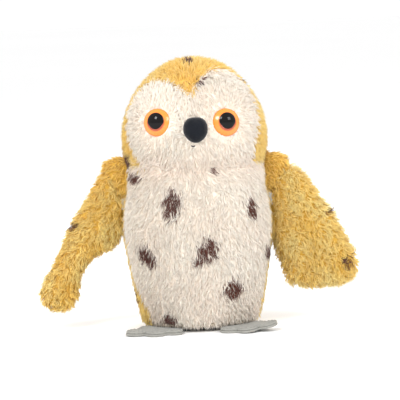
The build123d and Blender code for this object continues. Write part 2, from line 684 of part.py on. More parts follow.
def beak_outline(inset=0.0):
    """Front view of the beak: a shield with a flattened top and a blunt round tip."""
    half = [(5.2, 9.9), (9.0, 6.2), (10.3, 1.0), (9.5, -3.6), (6.6, -7.9), (2.8, -10.3)]
    loop = [(0, 10.6), *half, (0, -10.8), *[(-x, z) for x, z in reversed(half)]]
    scale = 1 - inset / 10.5
    rim = Spline(*[(x * scale, z * scale) for x, z in loop], periodic=True)
    return Pos(BEAK_X, BEAK_Z) * make_face(rim)


def beak_pad(inset, rounding):
    """Shield-shaped pad with a soft front edge."""
    front = BEAK_FRONT_Y + inset
    pad = slab_y(beak_outline(inset), front, front + 14)
    return fillet(pad.faces().sort_by(Axis.Y)[0].edges(), rounding)


def beak_nodes():
    outer = beak_pad(0.0, 4.0)
    inner = beak_pad(1.2, 2.8)
    head = envelope()
    stitch = Pos(-1.1, -HEAD_RADIUS - 0.2, BEAK_Z - STITCH_DROP) * Box(3.0, 1.4, 1.4)
    return {
        "beak_cover": outer - inner - head,
        "beak_stuffing": inner - head,
        "beak_stitch": stitch - head,
    }


def body_nodes():
    outside = envelope()
    inside = envelope(SKIN)
    throats = shoulder_throat() + mirrored(shoulder_throat())
    eyes = {side: eye_solids(side) for side in (-1, 1)}
    shell = outside - inside - throats
    far = 90
    head_zone = block(-far, far, -far, far, NECK_Z, 240)
    trunk_front = block(-far, far, -far, SIDE_SEAM_Y, LIP_TOP_Z, NECK_Z)
    trunk_back = block(-far, far, SIDE_SEAM_Y, far, LIP_TOP_Z, NECK_Z)
    under = block(-far, far, -far, far, 0, LIP_TOP_Z)
    eye_metal = joined([solid for side in (-1, 1) for solid in eyes[side]])
    face = (shell & face_region()) - eye_metal
    fill = inside - core_cavity() - throats
    nodes = {
        "face_panel": face,
        "crown_panel": (shell & head_zone) - face_region(),
        "belly_panel": shell & trunk_front,
        "back_panel": shell & trunk_back,
        "base_fabric": (shell & under) - slab_z(plate_outline(), 0, 20),
        "head_stuffing": (fill & head_zone) - eye_metal,
        "body_stuffing": fill - head_zone,
        "eye_washers": eyes[1][2] + eyes[-1][2],
    }
    for side, name in ((1, "left"), (-1, "right")):
        nodes[name + "_eye"] = eyes[side][0]
        nodes[name + "_pupil"] = eyes[side][1]
    return nodes


# ---------------------------------------------------------------- wings

def wing_face(rim):
    """Outline of one wing in the front view, its X counted outwards."""
    return make_face([Spline(*rim), Polyline(rim[-1], *WING_ROOT)])


def pillow(face, half, rounding):
    """A face padded to both sides of the wing's middle plane, with soft edges."""
    solid = slab_y(face, WING_MID_Y - half, WING_MID_Y + half)
    return fillet(solid.faces().filter_by(Axis.Y).edges(), rounding)


def wing_lever(phase):
    """Left crank: a gear sector on the pivot, an arm and a paddle in the stuffing."""
    gear = Pos(*WING_PIVOT) * gear_face(WING_MODULE, WING_TEETH, phase)
    reach = 30.0
    rays = [(0, 0)]
    for angle in (110, 140, 170, 205):
        ray = math.radians(angle)
        rays.append((reach * math.cos(ray), reach * math.sin(ray)))
    sector = gear & Pos(*WING_PIVOT) * Polygon(*rays, align=None)
    run = (ARM_TIP[0] - WING_PIVOT[0], ARM_TIP[1] - WING_PIVOT[1])
    length = math.hypot(*run)
    heading = math.degrees(math.atan2(run[1], run[0]))
    arm = Pos(*WING_PIVOT) * Rot(0, 0, heading) * Pos(length / 2, 0) * Rectangle(length, ARM_WIDTH)
    hub = Pos(*WING_PIVOT) * Circle(4.8)
    paddle = Pos(*ARM_TIP) * Rot(0, 0, heading) * Ellipse(16, 10)
    solid = slab_y(sector + arm + hub + paddle, *LAYER_A)
    return solid - rod_y(*WING_PIVOT, BORE, *LAYER_A)


def wing_solids(rim, phase):
    """Skin, stuffing and lever of a wing on the owl's left side."""
    face = wing_face(rim)
    half = WING_THICKNESS / 2
    lever = wing_lever(phase)
    outer = pillow(face, half, 5.0)
    inner_rim = offset(face, amount=-WING_SKIN).wires()[0]
    samples = [inner_rim @ (index / 40) for index in range(40)]
    inner_face = make_face(Spline(*samples, periodic=True))
    inner = slab_y(inner_face, WING_MID_Y - half + WING_SKIN, WING_MID_Y + half - WING_SKIN)
    return outer - inner - lever, inner - lever, lever


def shoulder_gusset():
    """Folded fabric that fills the notch over the left wing's root."""
    outline = Polygon((50, 146), (78.8, 138.4), (62.7, 111.5), (50, 111.5), align=None)
    half = WING_THICKNESS / 2 - 2
    wedge = slab_y(outline, WING_MID_Y - half, WING_MID_Y + half)
    sweep_room = Pos(*WING_PIVOT) * Polygon((0, 8), (50, 12), (50, -60), (10, -60), align=None)
    room = slab_y(sweep_room, LAYER_A[0] - 1.2, LAYER_A[1] + 1.2)
    return wedge - envelope(-0.05) - room


def wing_nodes():
    nodes = {}
    gusset = shoulder_gusset()
    left = wing_solids(LEFT_WING_RIM, 0.0)
    right = [mirrored(solid) for solid in wing_solids(RIGHT_WING_RIM, math.pi)]
    for name, solids in (("left", left), ("right", right)):
        nodes[name + "_wing_skin"] = solids[0]
        nodes[name + "_wing_stuffing"] = solids[1]
        nodes[name + "_wing_lever"] = solids[2]
    nodes["left_shoulder_gusset"] = gusset
    nodes["right_shoulder_gusset"] = mirrored(gusset)
    return nodes


# ---------------------------------------------------------------- feet

def foot_outline(inset=0.0):
    """Left foot from above: three round toes fanned out in front of a heel."""
    shape = Pos(*HEEL) * Ellipse(17 - inset, 15 - inset)
    for angle, reach, half_width in TOES:
        toe = SlotOverall(reach, 2 * (half_width - inset))
        shape += Pos(*TOE_ROOT) * Rot(0, 0, angle - 90) * Pos(reach / 2 - inset, 0) * toe
    return shape


def foot_nodes():
    nodes = {}
    plate = slab_z(plate_outline(), -1, 30)
    sole = slab_z(foot_outline(), 0, FELT) - plate
    top = slab_z(foot_outline(0.6), FELT, 2 * FELT) - plate
    for name, layer in (("foot_sole", sole), ("foot_top", top)):
        nodes["left_" + name] = layer
        nodes["right_" + name] = mirrored(layer)
    return nodes


# ---------------------------------------------------------------- the whole owl

def all_nodes():
    return {
        **base_nodes(),
        **core_nodes(),
        **drive_nodes(),
        **motor_nodes(),
        **speaker_nodes(),
        **board_nodes(),
        **button_nodes(),
        **wire_nodes(),
        **body_nodes(),
        **beak_nodes(),
        **wing_nodes(),
        **foot_nodes(),
    }


os.makedirs("parts", exist_ok=True)
for node, shape in all_nodes().items():
    export_step(shape, "parts/" + node + ".step")
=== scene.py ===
import json
import math

import bmesh
import bpy
import numpy as np
from mathutils import Matrix, Vector
from mathutils.kdtree import KDTree


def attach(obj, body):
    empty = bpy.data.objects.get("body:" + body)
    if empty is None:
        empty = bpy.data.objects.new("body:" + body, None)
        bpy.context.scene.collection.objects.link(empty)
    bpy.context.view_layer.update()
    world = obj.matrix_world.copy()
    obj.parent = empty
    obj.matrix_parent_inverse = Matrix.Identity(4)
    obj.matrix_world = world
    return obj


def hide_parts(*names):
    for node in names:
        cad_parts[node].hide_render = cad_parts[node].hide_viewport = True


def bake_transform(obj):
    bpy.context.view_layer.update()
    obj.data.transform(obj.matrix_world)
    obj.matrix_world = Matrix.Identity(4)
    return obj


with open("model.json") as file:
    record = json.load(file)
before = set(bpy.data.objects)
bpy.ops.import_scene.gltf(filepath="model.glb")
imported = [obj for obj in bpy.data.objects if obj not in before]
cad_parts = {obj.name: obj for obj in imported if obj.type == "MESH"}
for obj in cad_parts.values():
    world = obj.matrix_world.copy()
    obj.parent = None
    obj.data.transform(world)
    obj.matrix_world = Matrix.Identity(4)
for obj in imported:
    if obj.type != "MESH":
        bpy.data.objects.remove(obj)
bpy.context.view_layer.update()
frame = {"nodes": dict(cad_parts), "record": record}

# A plush owl. Lengths are millimetres until a mesh is made, and metres in the scene.
MM = 0.001
SKIN_DEPTH = 2.4
NECK_Z = 138.0
SIDE_SEAM_Y = -10.0
FACE_BACK_Y = -4.0
HEM_Z = 5.5

# The body's outline, bottom to brow, then two tangent arcs: (radius, centre radius, centre z)
SIDE_Z = [4.2, 10, 24, 43, 79, 100, 118, 135, 157]
SIDE_RADIUS = [46, 50.5, 54, 57.5, 63, 62.5, 59.5, 59.5, 61]
TEMPLE = (80.64, -19.64, 157.0)
CROWN = (54.0, 0.0, 175.0)
CROWN_FROM_Z = 211.5

FACE_LEFT_HALF = [
    (0, 192.5), (2.2, 200.5), (5.8, 207.8), (11.8, 213.3), (19.4, 216.5), (29.4, 213.8), (39, 205.4),
    (46.3, 196), (51.6, 183), (53, 169.6), (50.4, 158.3), (48, 147), (47, NECK_Z),
]
FACE_RIGHT_HALF = [
    (0, 192.5), (2.9, 197), (7.6, 200.5), (14, 204.5), (22.3, 207.7), (30.7, 207.6), (39.2, 203.5),
    (45.5, 196), (50.8, 187.9), (54.6, 174.6), (54.2, 161.3), (51, 151.5), (46.4, 143.5),
    (44.5, NECK_Z),
]
EYE_SEATS = {1: (27.4, 174.0), -1: (31.0, 175.8)}
EYE_TURN = math.radians(18)
EYE_TILT = math.radians(8)
EYE_SINK = 2.5
IRIS_RADIUS = 11.5
PUPIL_RADIUS = 7.0
PUPIL_RISE = 0.9
BEAK_X = 1.2
BEAK_Z = 168.5
BEAK_HALF = [(5.2, 9.9), (9.0, 6.2), (10.3, 1.0), (9.5, -3.6), (6.6, -7.9), (2.8, -10.3)]
BEAK_FRONT_Y = -66.8
STITCH_DROP = 12.3
HEEL = (36.0, -34.0)
TOE_ROOT = (36.0, -38.0)
TOES = [(-42.0, 27.5, 8.5), (6.0, 28.0, 9.0), (52.0, 32.0, 8.5)]

WING_MID_Y = 3.0
WING_HALF = 8.5
WING_PILE_DEPTH = 5.6
WING_ROOT = [(65.2, 90), (64, 110), (80, 137)]
LEFT_RIM = [
    (80, 137), (90.6, 131), (99.3, 121), (107, 108), (116.2, 96), (124, 80), (130, 67.5),
    (136, 54.5), (137.2, 42), (131, 31.5), (121, 26.5), (107.5, 25), (90, 26), (76.8, 27.5),
    (72.2, 36), (70.2, 47), (66.6, 60),
]
RIGHT_RIM = [
    (80, 137), (86.5, 129.5), (94.7, 115), (105.5, 98.5), (114.7, 83), (121.3, 68.5),
    (127.5, 56.5), (134.7, 45), (139.8, 34), (138.2, 22.5), (128.5, 14.5), (115.7, 12),
    (105.5, 17.7), (99.8, 30), (95.2, 43), (87, 54), (74.2, 64), (67.6, 71),
]

# Dark dabs on the front only: x, z, width, height, and a slant that the wings leave out
DABS = [
    (-55.5, 140.5, 5, 12, 0.0), (-50.2, 128, 8, 8, 0.0), (-20.3, 107, 13, 22, 0.15),
    (44.3, 100, 7, 16, -0.1), (-42, 63, 10, 19, -0.5), (7, 68.5, 14, 19, 0.4),
    (-1.7, 59, 6, 6, 0.0), (26.6, 34, 13, 15, 0.0), (-25, 9.7, 11, 8, 0.0), (14.7, 133, 5, 4, 0.0),
    (56.6, 61, 5, 12, 0.0), (-54.2, 30, 5, 8, 0.0), (-53.2, 24, 6, 6, 0.0), (-2.6, 223, 6, 3, 0.0),
    (5.9, 205.5, 6, 4, 0.3), (43.9, 206.7, 6, 7, 0.0),
]
# Strands: how many for each mm2, shortest and longest, thinnest and widest
BODY_STRANDS = (0.80, (5.2, 8.4), (0.55, 1.0))
WING_STRANDS = (0.68, (5.5, 8.5), (0.55, 0.95))
SHOULDER_STRANDS = (0.40, (5, 7.5), (0.8, 1.2))
NAP_STRANDS = (2.2, (0.7, 1.2), 0.22)
FLOOR_GAP = 0.8

# The crown is drawn in towards the top of the head
CROWN_DROP = 1.8
CROWN_DROP_FROM_Z = 185
CROWN_DROP_OVER = 30

# Golden pile comes further round at the foot of the owl's right side
LOW_GOLD_SHIFT = 16
LOW_GOLD_BELOW_Z = 50
LOW_GOLD_OVER = 30

# Seams: how deep they pull, and how wide
NECK_SEAM = (1.6, 5.0)
SIDE_SEAM = (0.8, 4.0)
FACE_SEAM = (1.0, 4.0)

FORM_STEP = 4.6
FORM_AROUND = 84
IRIS_HEIGHT = 5.0
PUPIL_HEIGHT = 2.4
FOOT_CENTRE = (36.0, -40.0)
HEEL_HALF = (17, 15)
FELT_SOLE_Z = (0.15, 1.95)
FELT_TOP_Z = (2.05, 3.9)
FOOT_LIFT = {"left": 4.5, "right": 0.5}
PLATE_HALF = (40.0, 34.0)
PLATE_CORNER = 20
LINING_RADIUS = 47.5
SHOULDER_CROSSING = ((0.058, 0.003, 0.130), (0.080, 0.003, 0.120))
SEED = 20

WING_DABS = [(-127, 53, 7, 9), (124, 50, 8, 8), (110, 92, 5, 5), (-104, 88, 5, 5)]

CREAM = (0.98, 0.93, 0.85)
PEACH = (0.97, 0.82, 0.71)
GOLD = (0.95, 0.66, 0.17)
DEEP_GOLD = (0.93, 0.52, 0.07)
PALE_GOLD = (0.96, 0.76, 0.30)
WING_GOLD = (0.93, 0.62, 0.13)
# Paler wing gold: the colour of the pile's highlights, a painted highlight
WING_HIGHLIGHT_GOLD = (0.98, 0.80, 0.32)
BROWN = (0.13, 0.045, 0.030)
BLACK_NAP = (0.006, 0.007, 0.010)
IRIS_INNER = (0.40, 0.06, 0.015)
IRIS_MIDDLE = (0.96, 0.27, 0.025)
IRIS_OUTER = (0.72, 0.16, 0.02)

# Painted shade: what a strand's colour is multiplied by at its root, where shade falls among the strands
CREAM_ROOT_SHADE = (0.93, 0.86, 0.79)
GOLD_ROOT_SHADE = (0.84, 0.72, 0.52)
WING_ROOT_SHADE = (0.80, 0.68, 0.48)
SHOULDER_ROOT_SHADE = (0.7, 0.56, 0.4)


# ------------------------------------------------------------------ materials

def node_material(name, low, high, scale, rough=(0.5, 0.6), bump=0.2, fine=0.0, attribute=None, **sockets):
    """Two colours mixed by layered noise, with roughness and bump from the same noise."""
    made = bpy.data.materials.new(name)
    made.use_nodes = True
    nodes, links = made.node_tree.nodes, made.node_tree.links
    shader = nodes["Principled BSDF"]
    where = nodes.new("ShaderNodeTexCoord")
    noise = nodes.new("ShaderNodeTexNoise")
    noise.inputs["Scale"].default_value = scale
    noise.inputs["Detail"].default_value = 6.0
    links.new(where.outputs["Object"], noise.inputs["Vector"])
    mix = nodes.new("ShaderNodeMix")
    mix.data_type = "RGBA"
    links.new(noise.outputs["Fac"], mix.inputs["Factor"])
    if attribute:
        tone = nodes.new("ShaderNodeAttribute")
        tone.attribute_name = attribute
        mix.blend_type = "MULTIPLY"
        links.new(tone.outputs["Color"], mix.inputs["A"])
    else:
        mix.inputs["A"].default_value = (*low, 1)
    mix.inputs["B"].default_value = (*high, 1)
    links.new(mix.outputs["Result"], shader.inputs["Base Color"])
    spread = nodes.new("ShaderNodeMapRange")
    spread.inputs["To Min"].default_value = rough[0]
    spread.inputs["To Max"].default_value = rough[1]
    links.new(noise.outputs["Fac"], spread.inputs["Value"])
    links.new(spread.outputs["Result"], shader.inputs["Roughness"])
    grain = nodes.new("ShaderNodeTexNoise")
    grain.inputs["Scale"].default_value = fine or scale * 6
    grain.inputs["Detail"].default_value = 4.0
    links.new(where.outputs["Object"], grain.inputs["Vector"])
    relief = nodes.new("ShaderNodeBump")
    relief.inputs["Strength"].default_value = bump
    relief.inputs["Distance"].default_value = 0.0006
    links.new(grain.outputs["Fac"], relief.inputs["Height"])
    links.new(relief.outputs["Normal"], shader.inputs["Normal"])
    for socket, value in sockets.items():
        shader.inputs[socket.replace("_", " ")].default_value = value
    return made


FABRIC = {"Sheen_Weight": 0.25, "Sheen_Roughness": 0.4, "Specular_IOR_Level": 0.15}
CLEAR = {"Coat_Weight": 0.5, "Coat_Roughness": 0.04}
MATERIALS = {
    # Painted shade: the cream, golden and wing backings are coloured darker than their pile, so that gaps
    # between the strands look shaded
    "cream_plush": node_material(
        "shaded_cream_backing", (0.84, 0.76, 0.66), (0.92, 0.84, 0.74), 180, (0.85, 0.95), 0.8, **FABRIC),
    "golden_plush": node_material(
        "shaded_golden_backing", (0.66, 0.42, 0.09), (0.80, 0.54, 0.14), 180, (0.85, 0.95), 0.8, **FABRIC),
    "wing_plush": node_material(
        "shaded_wing_backing", (0.56, 0.32, 0.05), (0.70, 0.43, 0.08), 180, (0.85, 0.95), 0.8, **FABRIC),
    "lining_fabric": node_material(
        "lining_weave", (0.55, 0.47, 0.36), (0.68, 0.60, 0.48), 400, (0.8, 0.9), 0.6, **FABRIC),
    "polyester_fill": node_material(
        "fill_fibre", (0.80, 0.80, 0.78), (0.90, 0.90, 0.88), 120, (0.8, 0.95), 0.8, **FABRIC),
    "black_velour": node_material(
        "black_velour", (0.004, 0.005, 0.007), (0.012, 0.014, 0.020), 260, (0.75, 0.95), 0.7,
        Sheen_Weight=0.2, Sheen_Roughness=0.35, Specular_IOR_Level=0.15),
    "grey_felt": node_material(
        "grey_felt", (0.26, 0.255, 0.23), (0.37, 0.365, 0.335), 420, (0.85, 0.98), 0.9, 1500, **FABRIC),
    "black_thread": node_material(
        "black_thread", (0.008, 0.008, 0.010), (0.03, 0.03, 0.035), 900, (0.5, 0.65), 0.5),
    "amber_eye": node_material(
        "amber_eye", (1, 1, 1), (0.93, 0.88, 0.84), 160, (0.22, 0.3), 0.04, attribute="tone", **CLEAR),
    "black_pupil": node_material(
        "black_pupil", (0.002, 0.002, 0.002), (0.004, 0.003, 0.003), 60, (0.05, 0.09), 0.01,
        Specular_IOR_Level=0.22),
    "white_nylon": node_material(
        "white_nylon", (0.78, 0.78, 0.75), (0.86, 0.86, 0.83), 60, (0.35, 0.45), 0.08),
    "black_plastic": node_material(
        "black_plastic", (0.016, 0.016, 0.018), (0.030, 0.030, 0.032), 90, (0.42, 0.55), 0.15, 2600),
    "case_plastic": node_material(
        "case_plastic", (0.52, 0.52, 0.50), (0.60, 0.60, 0.58), 50, (0.4, 0.52), 0.12, 2400),
    "steel": node_material(
        "steel", (0.55, 0.55, 0.56), (0.68, 0.68, 0.70), 300, (0.25, 0.4), 0.1, Metallic=1.0),
    "spring_steel": node_material(
        "spring_steel", (0.62, 0.62, 0.63), (0.74, 0.74, 0.76), 500, (0.2, 0.3), 0.05, Metallic=1.0),
    "brass": node_material(
        "brass", (0.72, 0.52, 0.22), (0.82, 0.62, 0.30), 200, (0.25, 0.35), 0.06, Metallic=1.0),
    "cell_jacket": node_material(
        "cell_jacket", (0.05, 0.07, 0.10), (0.07, 0.09, 0.13), 40, (0.28, 0.36), 0.03),
    "circuit_green": node_material(
        "circuit_green", (0.01, 0.10, 0.04), (0.02, 0.16, 0.07), 260, (0.3, 0.45), 0.1),
    "component_black": node_material(
        "component_black", (0.015, 0.015, 0.016), (0.03, 0.03, 0.032), 200, (0.45, 0.6), 0.1),
    "wire_jacket": node_material(
        "wire_jacket", (0.42, 0.03, 0.02), (0.50, 0.04, 0.03), 120, (0.4, 0.5), 0.05),
    "speaker_paper": node_material(
        "speaker_paper", (0.03, 0.03, 0.03), (0.06, 0.06, 0.055), 350, (0.8, 0.9), 0.4),
    "foam": node_material(
        "foam", (0.06, 0.06, 0.06), (0.10, 0.10, 0.10), 500, (0.9, 0.98), 0.8),
}
FUR = node_material("plush_pile", (1, 1, 1), (0.95, 0.94, 0.93), 140, (0.7, 0.9), 0.1, attribute="tone",
                    Sheen_Weight=0.15, Sheen_Roughness=0.5, Specular_IOR_Level=0.25)


# ------------------------------------------------------------------ meshes

def finished(piece, slot, bodies, replaced=(), material=None, blend=None):
    """Gives a piece its material and hides the nodes that it stands for; it hangs from its body's empty
    unless blend is given, and then only has its transform baked in.
    """
    piece.data.materials.clear()
    piece.data.materials.append(material or MATERIALS[slot])
    if blend:
        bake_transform(piece)
    else:
        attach(piece, bodies)
    if replaced:
        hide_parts(*replaced)
    return piece


def mesh_piece(name, points, faces, tones=None):
    """Object from points in millimetres, with an optional colour for each point."""
    mesh = bpy.data.meshes.new(name)
    mesh.from_pydata([tuple(point) for point in np.asarray(points) * MM], [], faces)
    if tones is not None:
        layer = mesh.color_attributes.new("tone", "FLOAT_COLOR", "POINT")
        rgba = np.ones((len(points), 4))
        rgba[:, :3] = tones
        layer.data.foreach_set("color", rgba.ravel())
    mesh.shade_smooth()
    piece = bpy.data.objects.new(name, mesh)
    bpy.context.scene.collection.objects.link(piece)
    return piece


def ring_faces(rings, size):
    """Quads between neighbouring rings, each of the same number of points."""
    faces = []
    for row in range(rings - 1):
        for index in range(size):
            after = (index + 1) % size
            low, high = row * size, (row + 1) * size
            faces.append((low + index, low + after, high + after, high + index))
    return faces


def outward(piece):
    """Turns every face of a closed mesh outwards."""
    work = bmesh.new()
    work.from_mesh(piece.data)
    bmesh.ops.recalc_face_normals(work, faces=work.faces)
    work.to_mesh(piece.data)
    work.free()
    return piece


def applied(piece):
    """Puts a piece's modifiers into its mesh."""
    graph = bpy.context.evaluated_depsgraph_get()
    mesh = bpy.data.meshes.new_from_object(piece.evaluated_get(graph))
    piece.modifiers.clear()
    piece.data = mesh
    mesh.shade_smooth()
    return piece


def positions(mesh):
    flat = np.empty(len(mesh.vertices) * 3)
    mesh.vertices.foreach_get("co", flat)
    return flat.reshape(-1, 3) / MM


def vertex_normals(mesh):
    flat = np.empty(len(mesh.vertices) * 3)
    mesh.vertex_normals.foreach_get("vector", flat)
    return flat.reshape(-1, 3)


def move_points(mesh, points):
    mesh.vertices.foreach_set("co", (points * MM).ravel())
    mesh.update()


def remeshed(piece, voxel):
    change = piece.modifiers.new("voxels", "REMESH")
    change.mode = "VOXEL"
    change.voxel_size = voxel * MM
    applied(piece)
    soften = piece.modifiers.new("soften", "SMOOTH")
    soften.iterations = 4
    return applied(piece)


def puffed(piece, pressure, cap, pinned=None, frames=16):
    """Cloth blown up from inside, with its movement limited, then one subdivision."""
    before = positions(piece.data)
    cloth = piece.modifiers.new("cloth", "CLOTH")
    cloth.settings.quality = 4
    cloth.settings.use_pressure = True
    cloth.settings.uniform_pressure_force = pressure
    cloth.settings.effector_weights.gravity = 0.0
    cloth.collision_settings.use_collision = False
    cloth.point_cache.frame_start = 1
    cloth.point_cache.frame_end = frames
    if pinned is not None:
        group = piece.vertex_groups.new(name="sewn")
        for index in np.nonzero(pinned)[0]:
            group.add([int(index)], 1.0, "REPLACE")
        cloth.settings.vertex_group_mass = group.name
    for frame_number in range(1, frames + 1):
        bpy.context.scene.frame_set(frame_number)
    graph = bpy.context.evaluated_depsgraph_get()
    after = positions(piece.evaluated_get(graph).to_mesh())
    piece.modifiers.clear()
    bpy.context.scene.frame_set(1)
    shift = after - before
    size = np.linalg.norm(shift, axis=1, keepdims=True)
    shift *= np.minimum(1.0, cap / np.maximum(size, 1e-6))
    move_points(piece.data, before + shift)
    smooth = piece.modifiers.new("smooth", "SUBSURF")
    smooth.levels = 1
    return applied(piece)


def through(points, count, closed=False):
    """Evenly spaced points on a smooth curve through the given ones."""
    points = np.asarray(points, float)
    if closed:
        padded = np.vstack([points[-1:], points, points[:2]])
    else:
        padded = np.vstack([2 * points[0] - points[1], points, 2 * points[-1] - points[-2]])
    steps = np.linspace(0, 1, 16, endpoint=False)[:, None]
    runs = []
    for a, b, c, d in zip(padded, padded[1:], padded[2:], padded[3:]):
        runs.append(0.5 * (2 * b + (c - a) * steps + (2 * a - 5 * b + 4 * c - d) * steps ** 2
                           + (3 * b - a - 3 * c + d) * steps ** 3))
    dense = np.vstack(runs + [points[:1] if closed else points[-1:]])
    along = np.concatenate([[0], np.cumsum(np.linalg.norm(np.diff(dense, axis=0), axis=1))])
    wanted = np.linspace(0, along[-1], count, endpoint=not closed)
    return np.column_stack([np.interp(wanted, along, dense[:, axis]) for axis in range(dense.shape[1])])


def inside(outline, x, z):
    """Which of the points (x, z) lie inside a closed outline."""
    found = np.zeros(len(x), bool)
    for (x0, z0), (x1, z1) in zip(outline, np.roll(outline, -1, axis=0)):
        crosses = (z0 > z) != (z1 > z)
        slope = (x1 - x0) / (z1 - z0 if z1 != z0 else 1e-9)
        found ^= crosses & (x < (z - z0) * slope + x0)
    return found


def edge_distance(outline, x, z):
    """Distance from each point (x, z) to the nearest point of a dense outline."""
    best = np.full(len(x), 1e9)
    for x0, z0 in outline:
        best = np.minimum(best, np.hypot(x - x0, z - z0))
    return best


# ------------------------------------------------------------------ body shape

def meridian(step):
    """Points (radius, z) up the body's side, evenly spaced, from the hem to the top."""
    side = through(list(zip(SIDE_RADIUS, SIDE_Z)), 200)
    temple_end = math.asin((CROWN_FROM_Z - TEMPLE[2]) / TEMPLE[0])
    turns = np.linspace(0.02, temple_end, 40)
    temple = np.column_stack([TEMPLE[1] + TEMPLE[0] * np.cos(turns), TEMPLE[2] + TEMPLE[0] * np.sin(turns)])
    turns = np.linspace(math.asin((CROWN_FROM_Z - CROWN[2]) / CROWN[0]), math.pi / 2, 30)[1:]
    crown = np.column_stack([CROWN[0] * np.cos(turns), CROWN[2] + CROWN[0] * np.sin(turns)])
    whole = np.vstack([side, temple, crown])
    along = np.concatenate([[0], np.cumsum(np.linalg.norm(np.diff(whole, axis=0), axis=1))])
    wanted = np.linspace(0, along[-1], int(along[-1] / step))
    return np.column_stack([np.interp(wanted, along, whole[:, axis]) for axis in (0, 1)])


FACE_OUTLINE = np.vstack([
    through(FACE_LEFT_HALF, 90),
    through([(-x, z) for x, z in FACE_RIGHT_HALF], 90)[::-1],
])
PANELS = ("face", "crown", "belly", "back")


def panel_of(points):
    """Index in PANELS of each point of the body."""
    x, y, z = points.T
    face = (y < FACE_BACK_Y) & (z > NECK_Z) & inside(FACE_OUTLINE, x, z)
    trunk = z <= NECK_Z
    return np.select([face, ~trunk, y < SIDE_SEAM_Y], [0, 1, 2], 3)


def seam_depth(points):
    """How far the seams draw the fabric in."""
    x, y, z = points.T
    neck = np.exp(-((z - NECK_Z) / NECK_SEAM[1]) ** 2)
    sides = np.exp(-((y - SIDE_SEAM_Y) / SIDE_SEAM[1]) ** 2) * (z < NECK_Z)
    rim = np.exp(-(edge_distance(FACE_OUTLINE, x, z) / FACE_SEAM[1]) ** 2)
    rim = rim * (y < FACE_BACK_Y) * (z > NECK_Z)
    return NECK_SEAM[0] * neck + SIDE_SEAM[0] * sides + FACE_SEAM[0] * rim


def eye_seat(side):
    """Centre and outward direction of an eye's base."""
    out = np.array([side * math.sin(EYE_TURN) * math.cos(EYE_TILT),
                    -math.cos(EYE_TURN) * math.cos(EYE_TILT), math.sin(EYE_TILT)])
    x, z = EYE_SEATS[side]
    reach = TEMPLE[1] + math.sqrt(TEMPLE[0] ** 2 - (z - TEMPLE[2]) ** 2)
    seat = np.array([side * x, -math.sqrt(reach ** 2 - x ** 2), z])
    return seat - EYE_SINK * out, out


def eye_offset(points, side):
    """Distance of each point from an eye's axis."""
    centre, out = eye_seat(side)
    rest = points - centre
    along = rest @ out
    across = np.linalg.norm(rest - along[:, None] * out, axis=1)
    return np.where(np.abs(along) < 25, across, 99.0)


def body_form():
    """The whole body's fabric as one closed form, drawn in at its seams and puffed."""
    rows = meridian(FORM_STEP)
    around = FORM_AROUND
    angles = 2 * math.pi * np.arange(around) / around
    points = []
    for radius, z in rows[:-1]:
        points += [(radius * math.sin(a), -radius * math.cos(a), z) for a in angles]
    points.append((0, 0, rows[-1][1]))
    top = len(points) - 1
    points.append((0, 0, rows[0][1]))
    last = len(rows) - 2
    faces = ring_faces(last + 1, around)
    for index in range(around):
        after = (index + 1) % around
        faces.append((last * around + index, last * around + after, top))
        faces.append((after, index, top + 1))
    form = outward(mesh_piece("body_form", points, faces))
    start = positions(form.data)
    normals = vertex_normals(form.data)
    near_top = np.clip((start[:, 2] - CROWN_DROP_FROM_Z) / CROWN_DROP_OVER, 0, 1)
    depth = SKIN_DEPTH + seam_depth(start) + CROWN_DROP * near_top
    for side in (-1, 1):
        depth += 1.5 * np.exp(-(np.maximum(0, eye_offset(start, side) - 8) / 6) ** 2)
    depth *= np.clip((start[:, 2] - 4.2) / 6.0, 0.25, 1)
    move_points(form.data, start - normals * depth[:, None])
    sewn = (seam_depth(start) > 0.75) | (start[:, 2] < 12)
    puffed(form, 3.0, 2.0, sewn)
    return form


def split_panel(form, label, name):
    """The part of the body's fabric that belongs to one panel, with its thickness."""
    mesh = form.data
    points = positions(mesh)
    centres = np.array([points[list(face.vertices)].mean(axis=0) for face in mesh.polygons])
    labels = panel_of(centres)
    keep = (labels == label) & (centres[:, 2] > HEM_Z)
    chosen = [list(face.vertices) for face, kept in zip(mesh.polygons, keep) if kept]
    used = sorted({index for face in chosen for index in face})
    renumber = {old: new for new, old in enumerate(used)}
    piece = mesh_piece(name, points[used], [[renumber[index] for index in face] for face in chosen])
    solid = piece.modifiers.new("fabric", "SOLIDIFY")
    solid.thickness = 1.2 * MM
    solid.offset = -1
    return applied(piece)


# ------------------------------------------------------------------ pile

def scatter(piece, density, rng):
    """Points and normals spread evenly over a mesh, a number of them for each mm2."""
    mesh = piece.data
    mesh.calc_loop_triangles()
    flat = np.empty(len(mesh.loop_triangles) * 3, int)
    mesh.loop_triangles.foreach_get("vertices", flat)
    corners = flat.reshape(-1, 3)
    points, normals = positions(mesh), vertex_normals(mesh)
    a, b, c = (points[corners[:, index]] for index in range(3))
    areas = np.linalg.norm(np.cross(b - a, c - a), axis=1) / 2
    edges = np.cumsum(areas)
    count = int(edges[-1] * density)
    picks = np.searchsorted(edges, (np.arange(count) + rng.random(count)) / count * edges[-1])
    picks = np.minimum(picks, len(edges) - 1)
    u, v = rng.random(count), rng.random(count)
    fold = u + v > 1
    u[fold], v[fold] = 1 - u[fold], 1 - v[fold]
    weights = np.column_stack([1 - u - v, u, v])[:, :, None]
    place = (points[corners[picks]] * weights).sum(axis=1)
    facing = (normals[corners[picks]] * weights).sum(axis=1)
    return place, unit(facing)


def unit(vectors):
    return vectors / np.maximum(np.linalg.norm(vectors, axis=-1, keepdims=True), 1e-9)


def tufted(points, directions, per_tuft, rng):
    """Gives the strands of one tuft a shared direction, and returns the way to its middle."""
    seeds = rng.choice(len(points), max(1, len(points) // per_tuft), replace=False)
    tree = KDTree(len(seeds))
    for index, seed in enumerate(seeds):
        tree.insert(points[seed], index)
    tree.balance()
    owner = seeds[[tree.find(point)[1] for point in points]]
    return owner, unit(0.35 * directions + 0.65 * directions[owner]), points[owner] - points


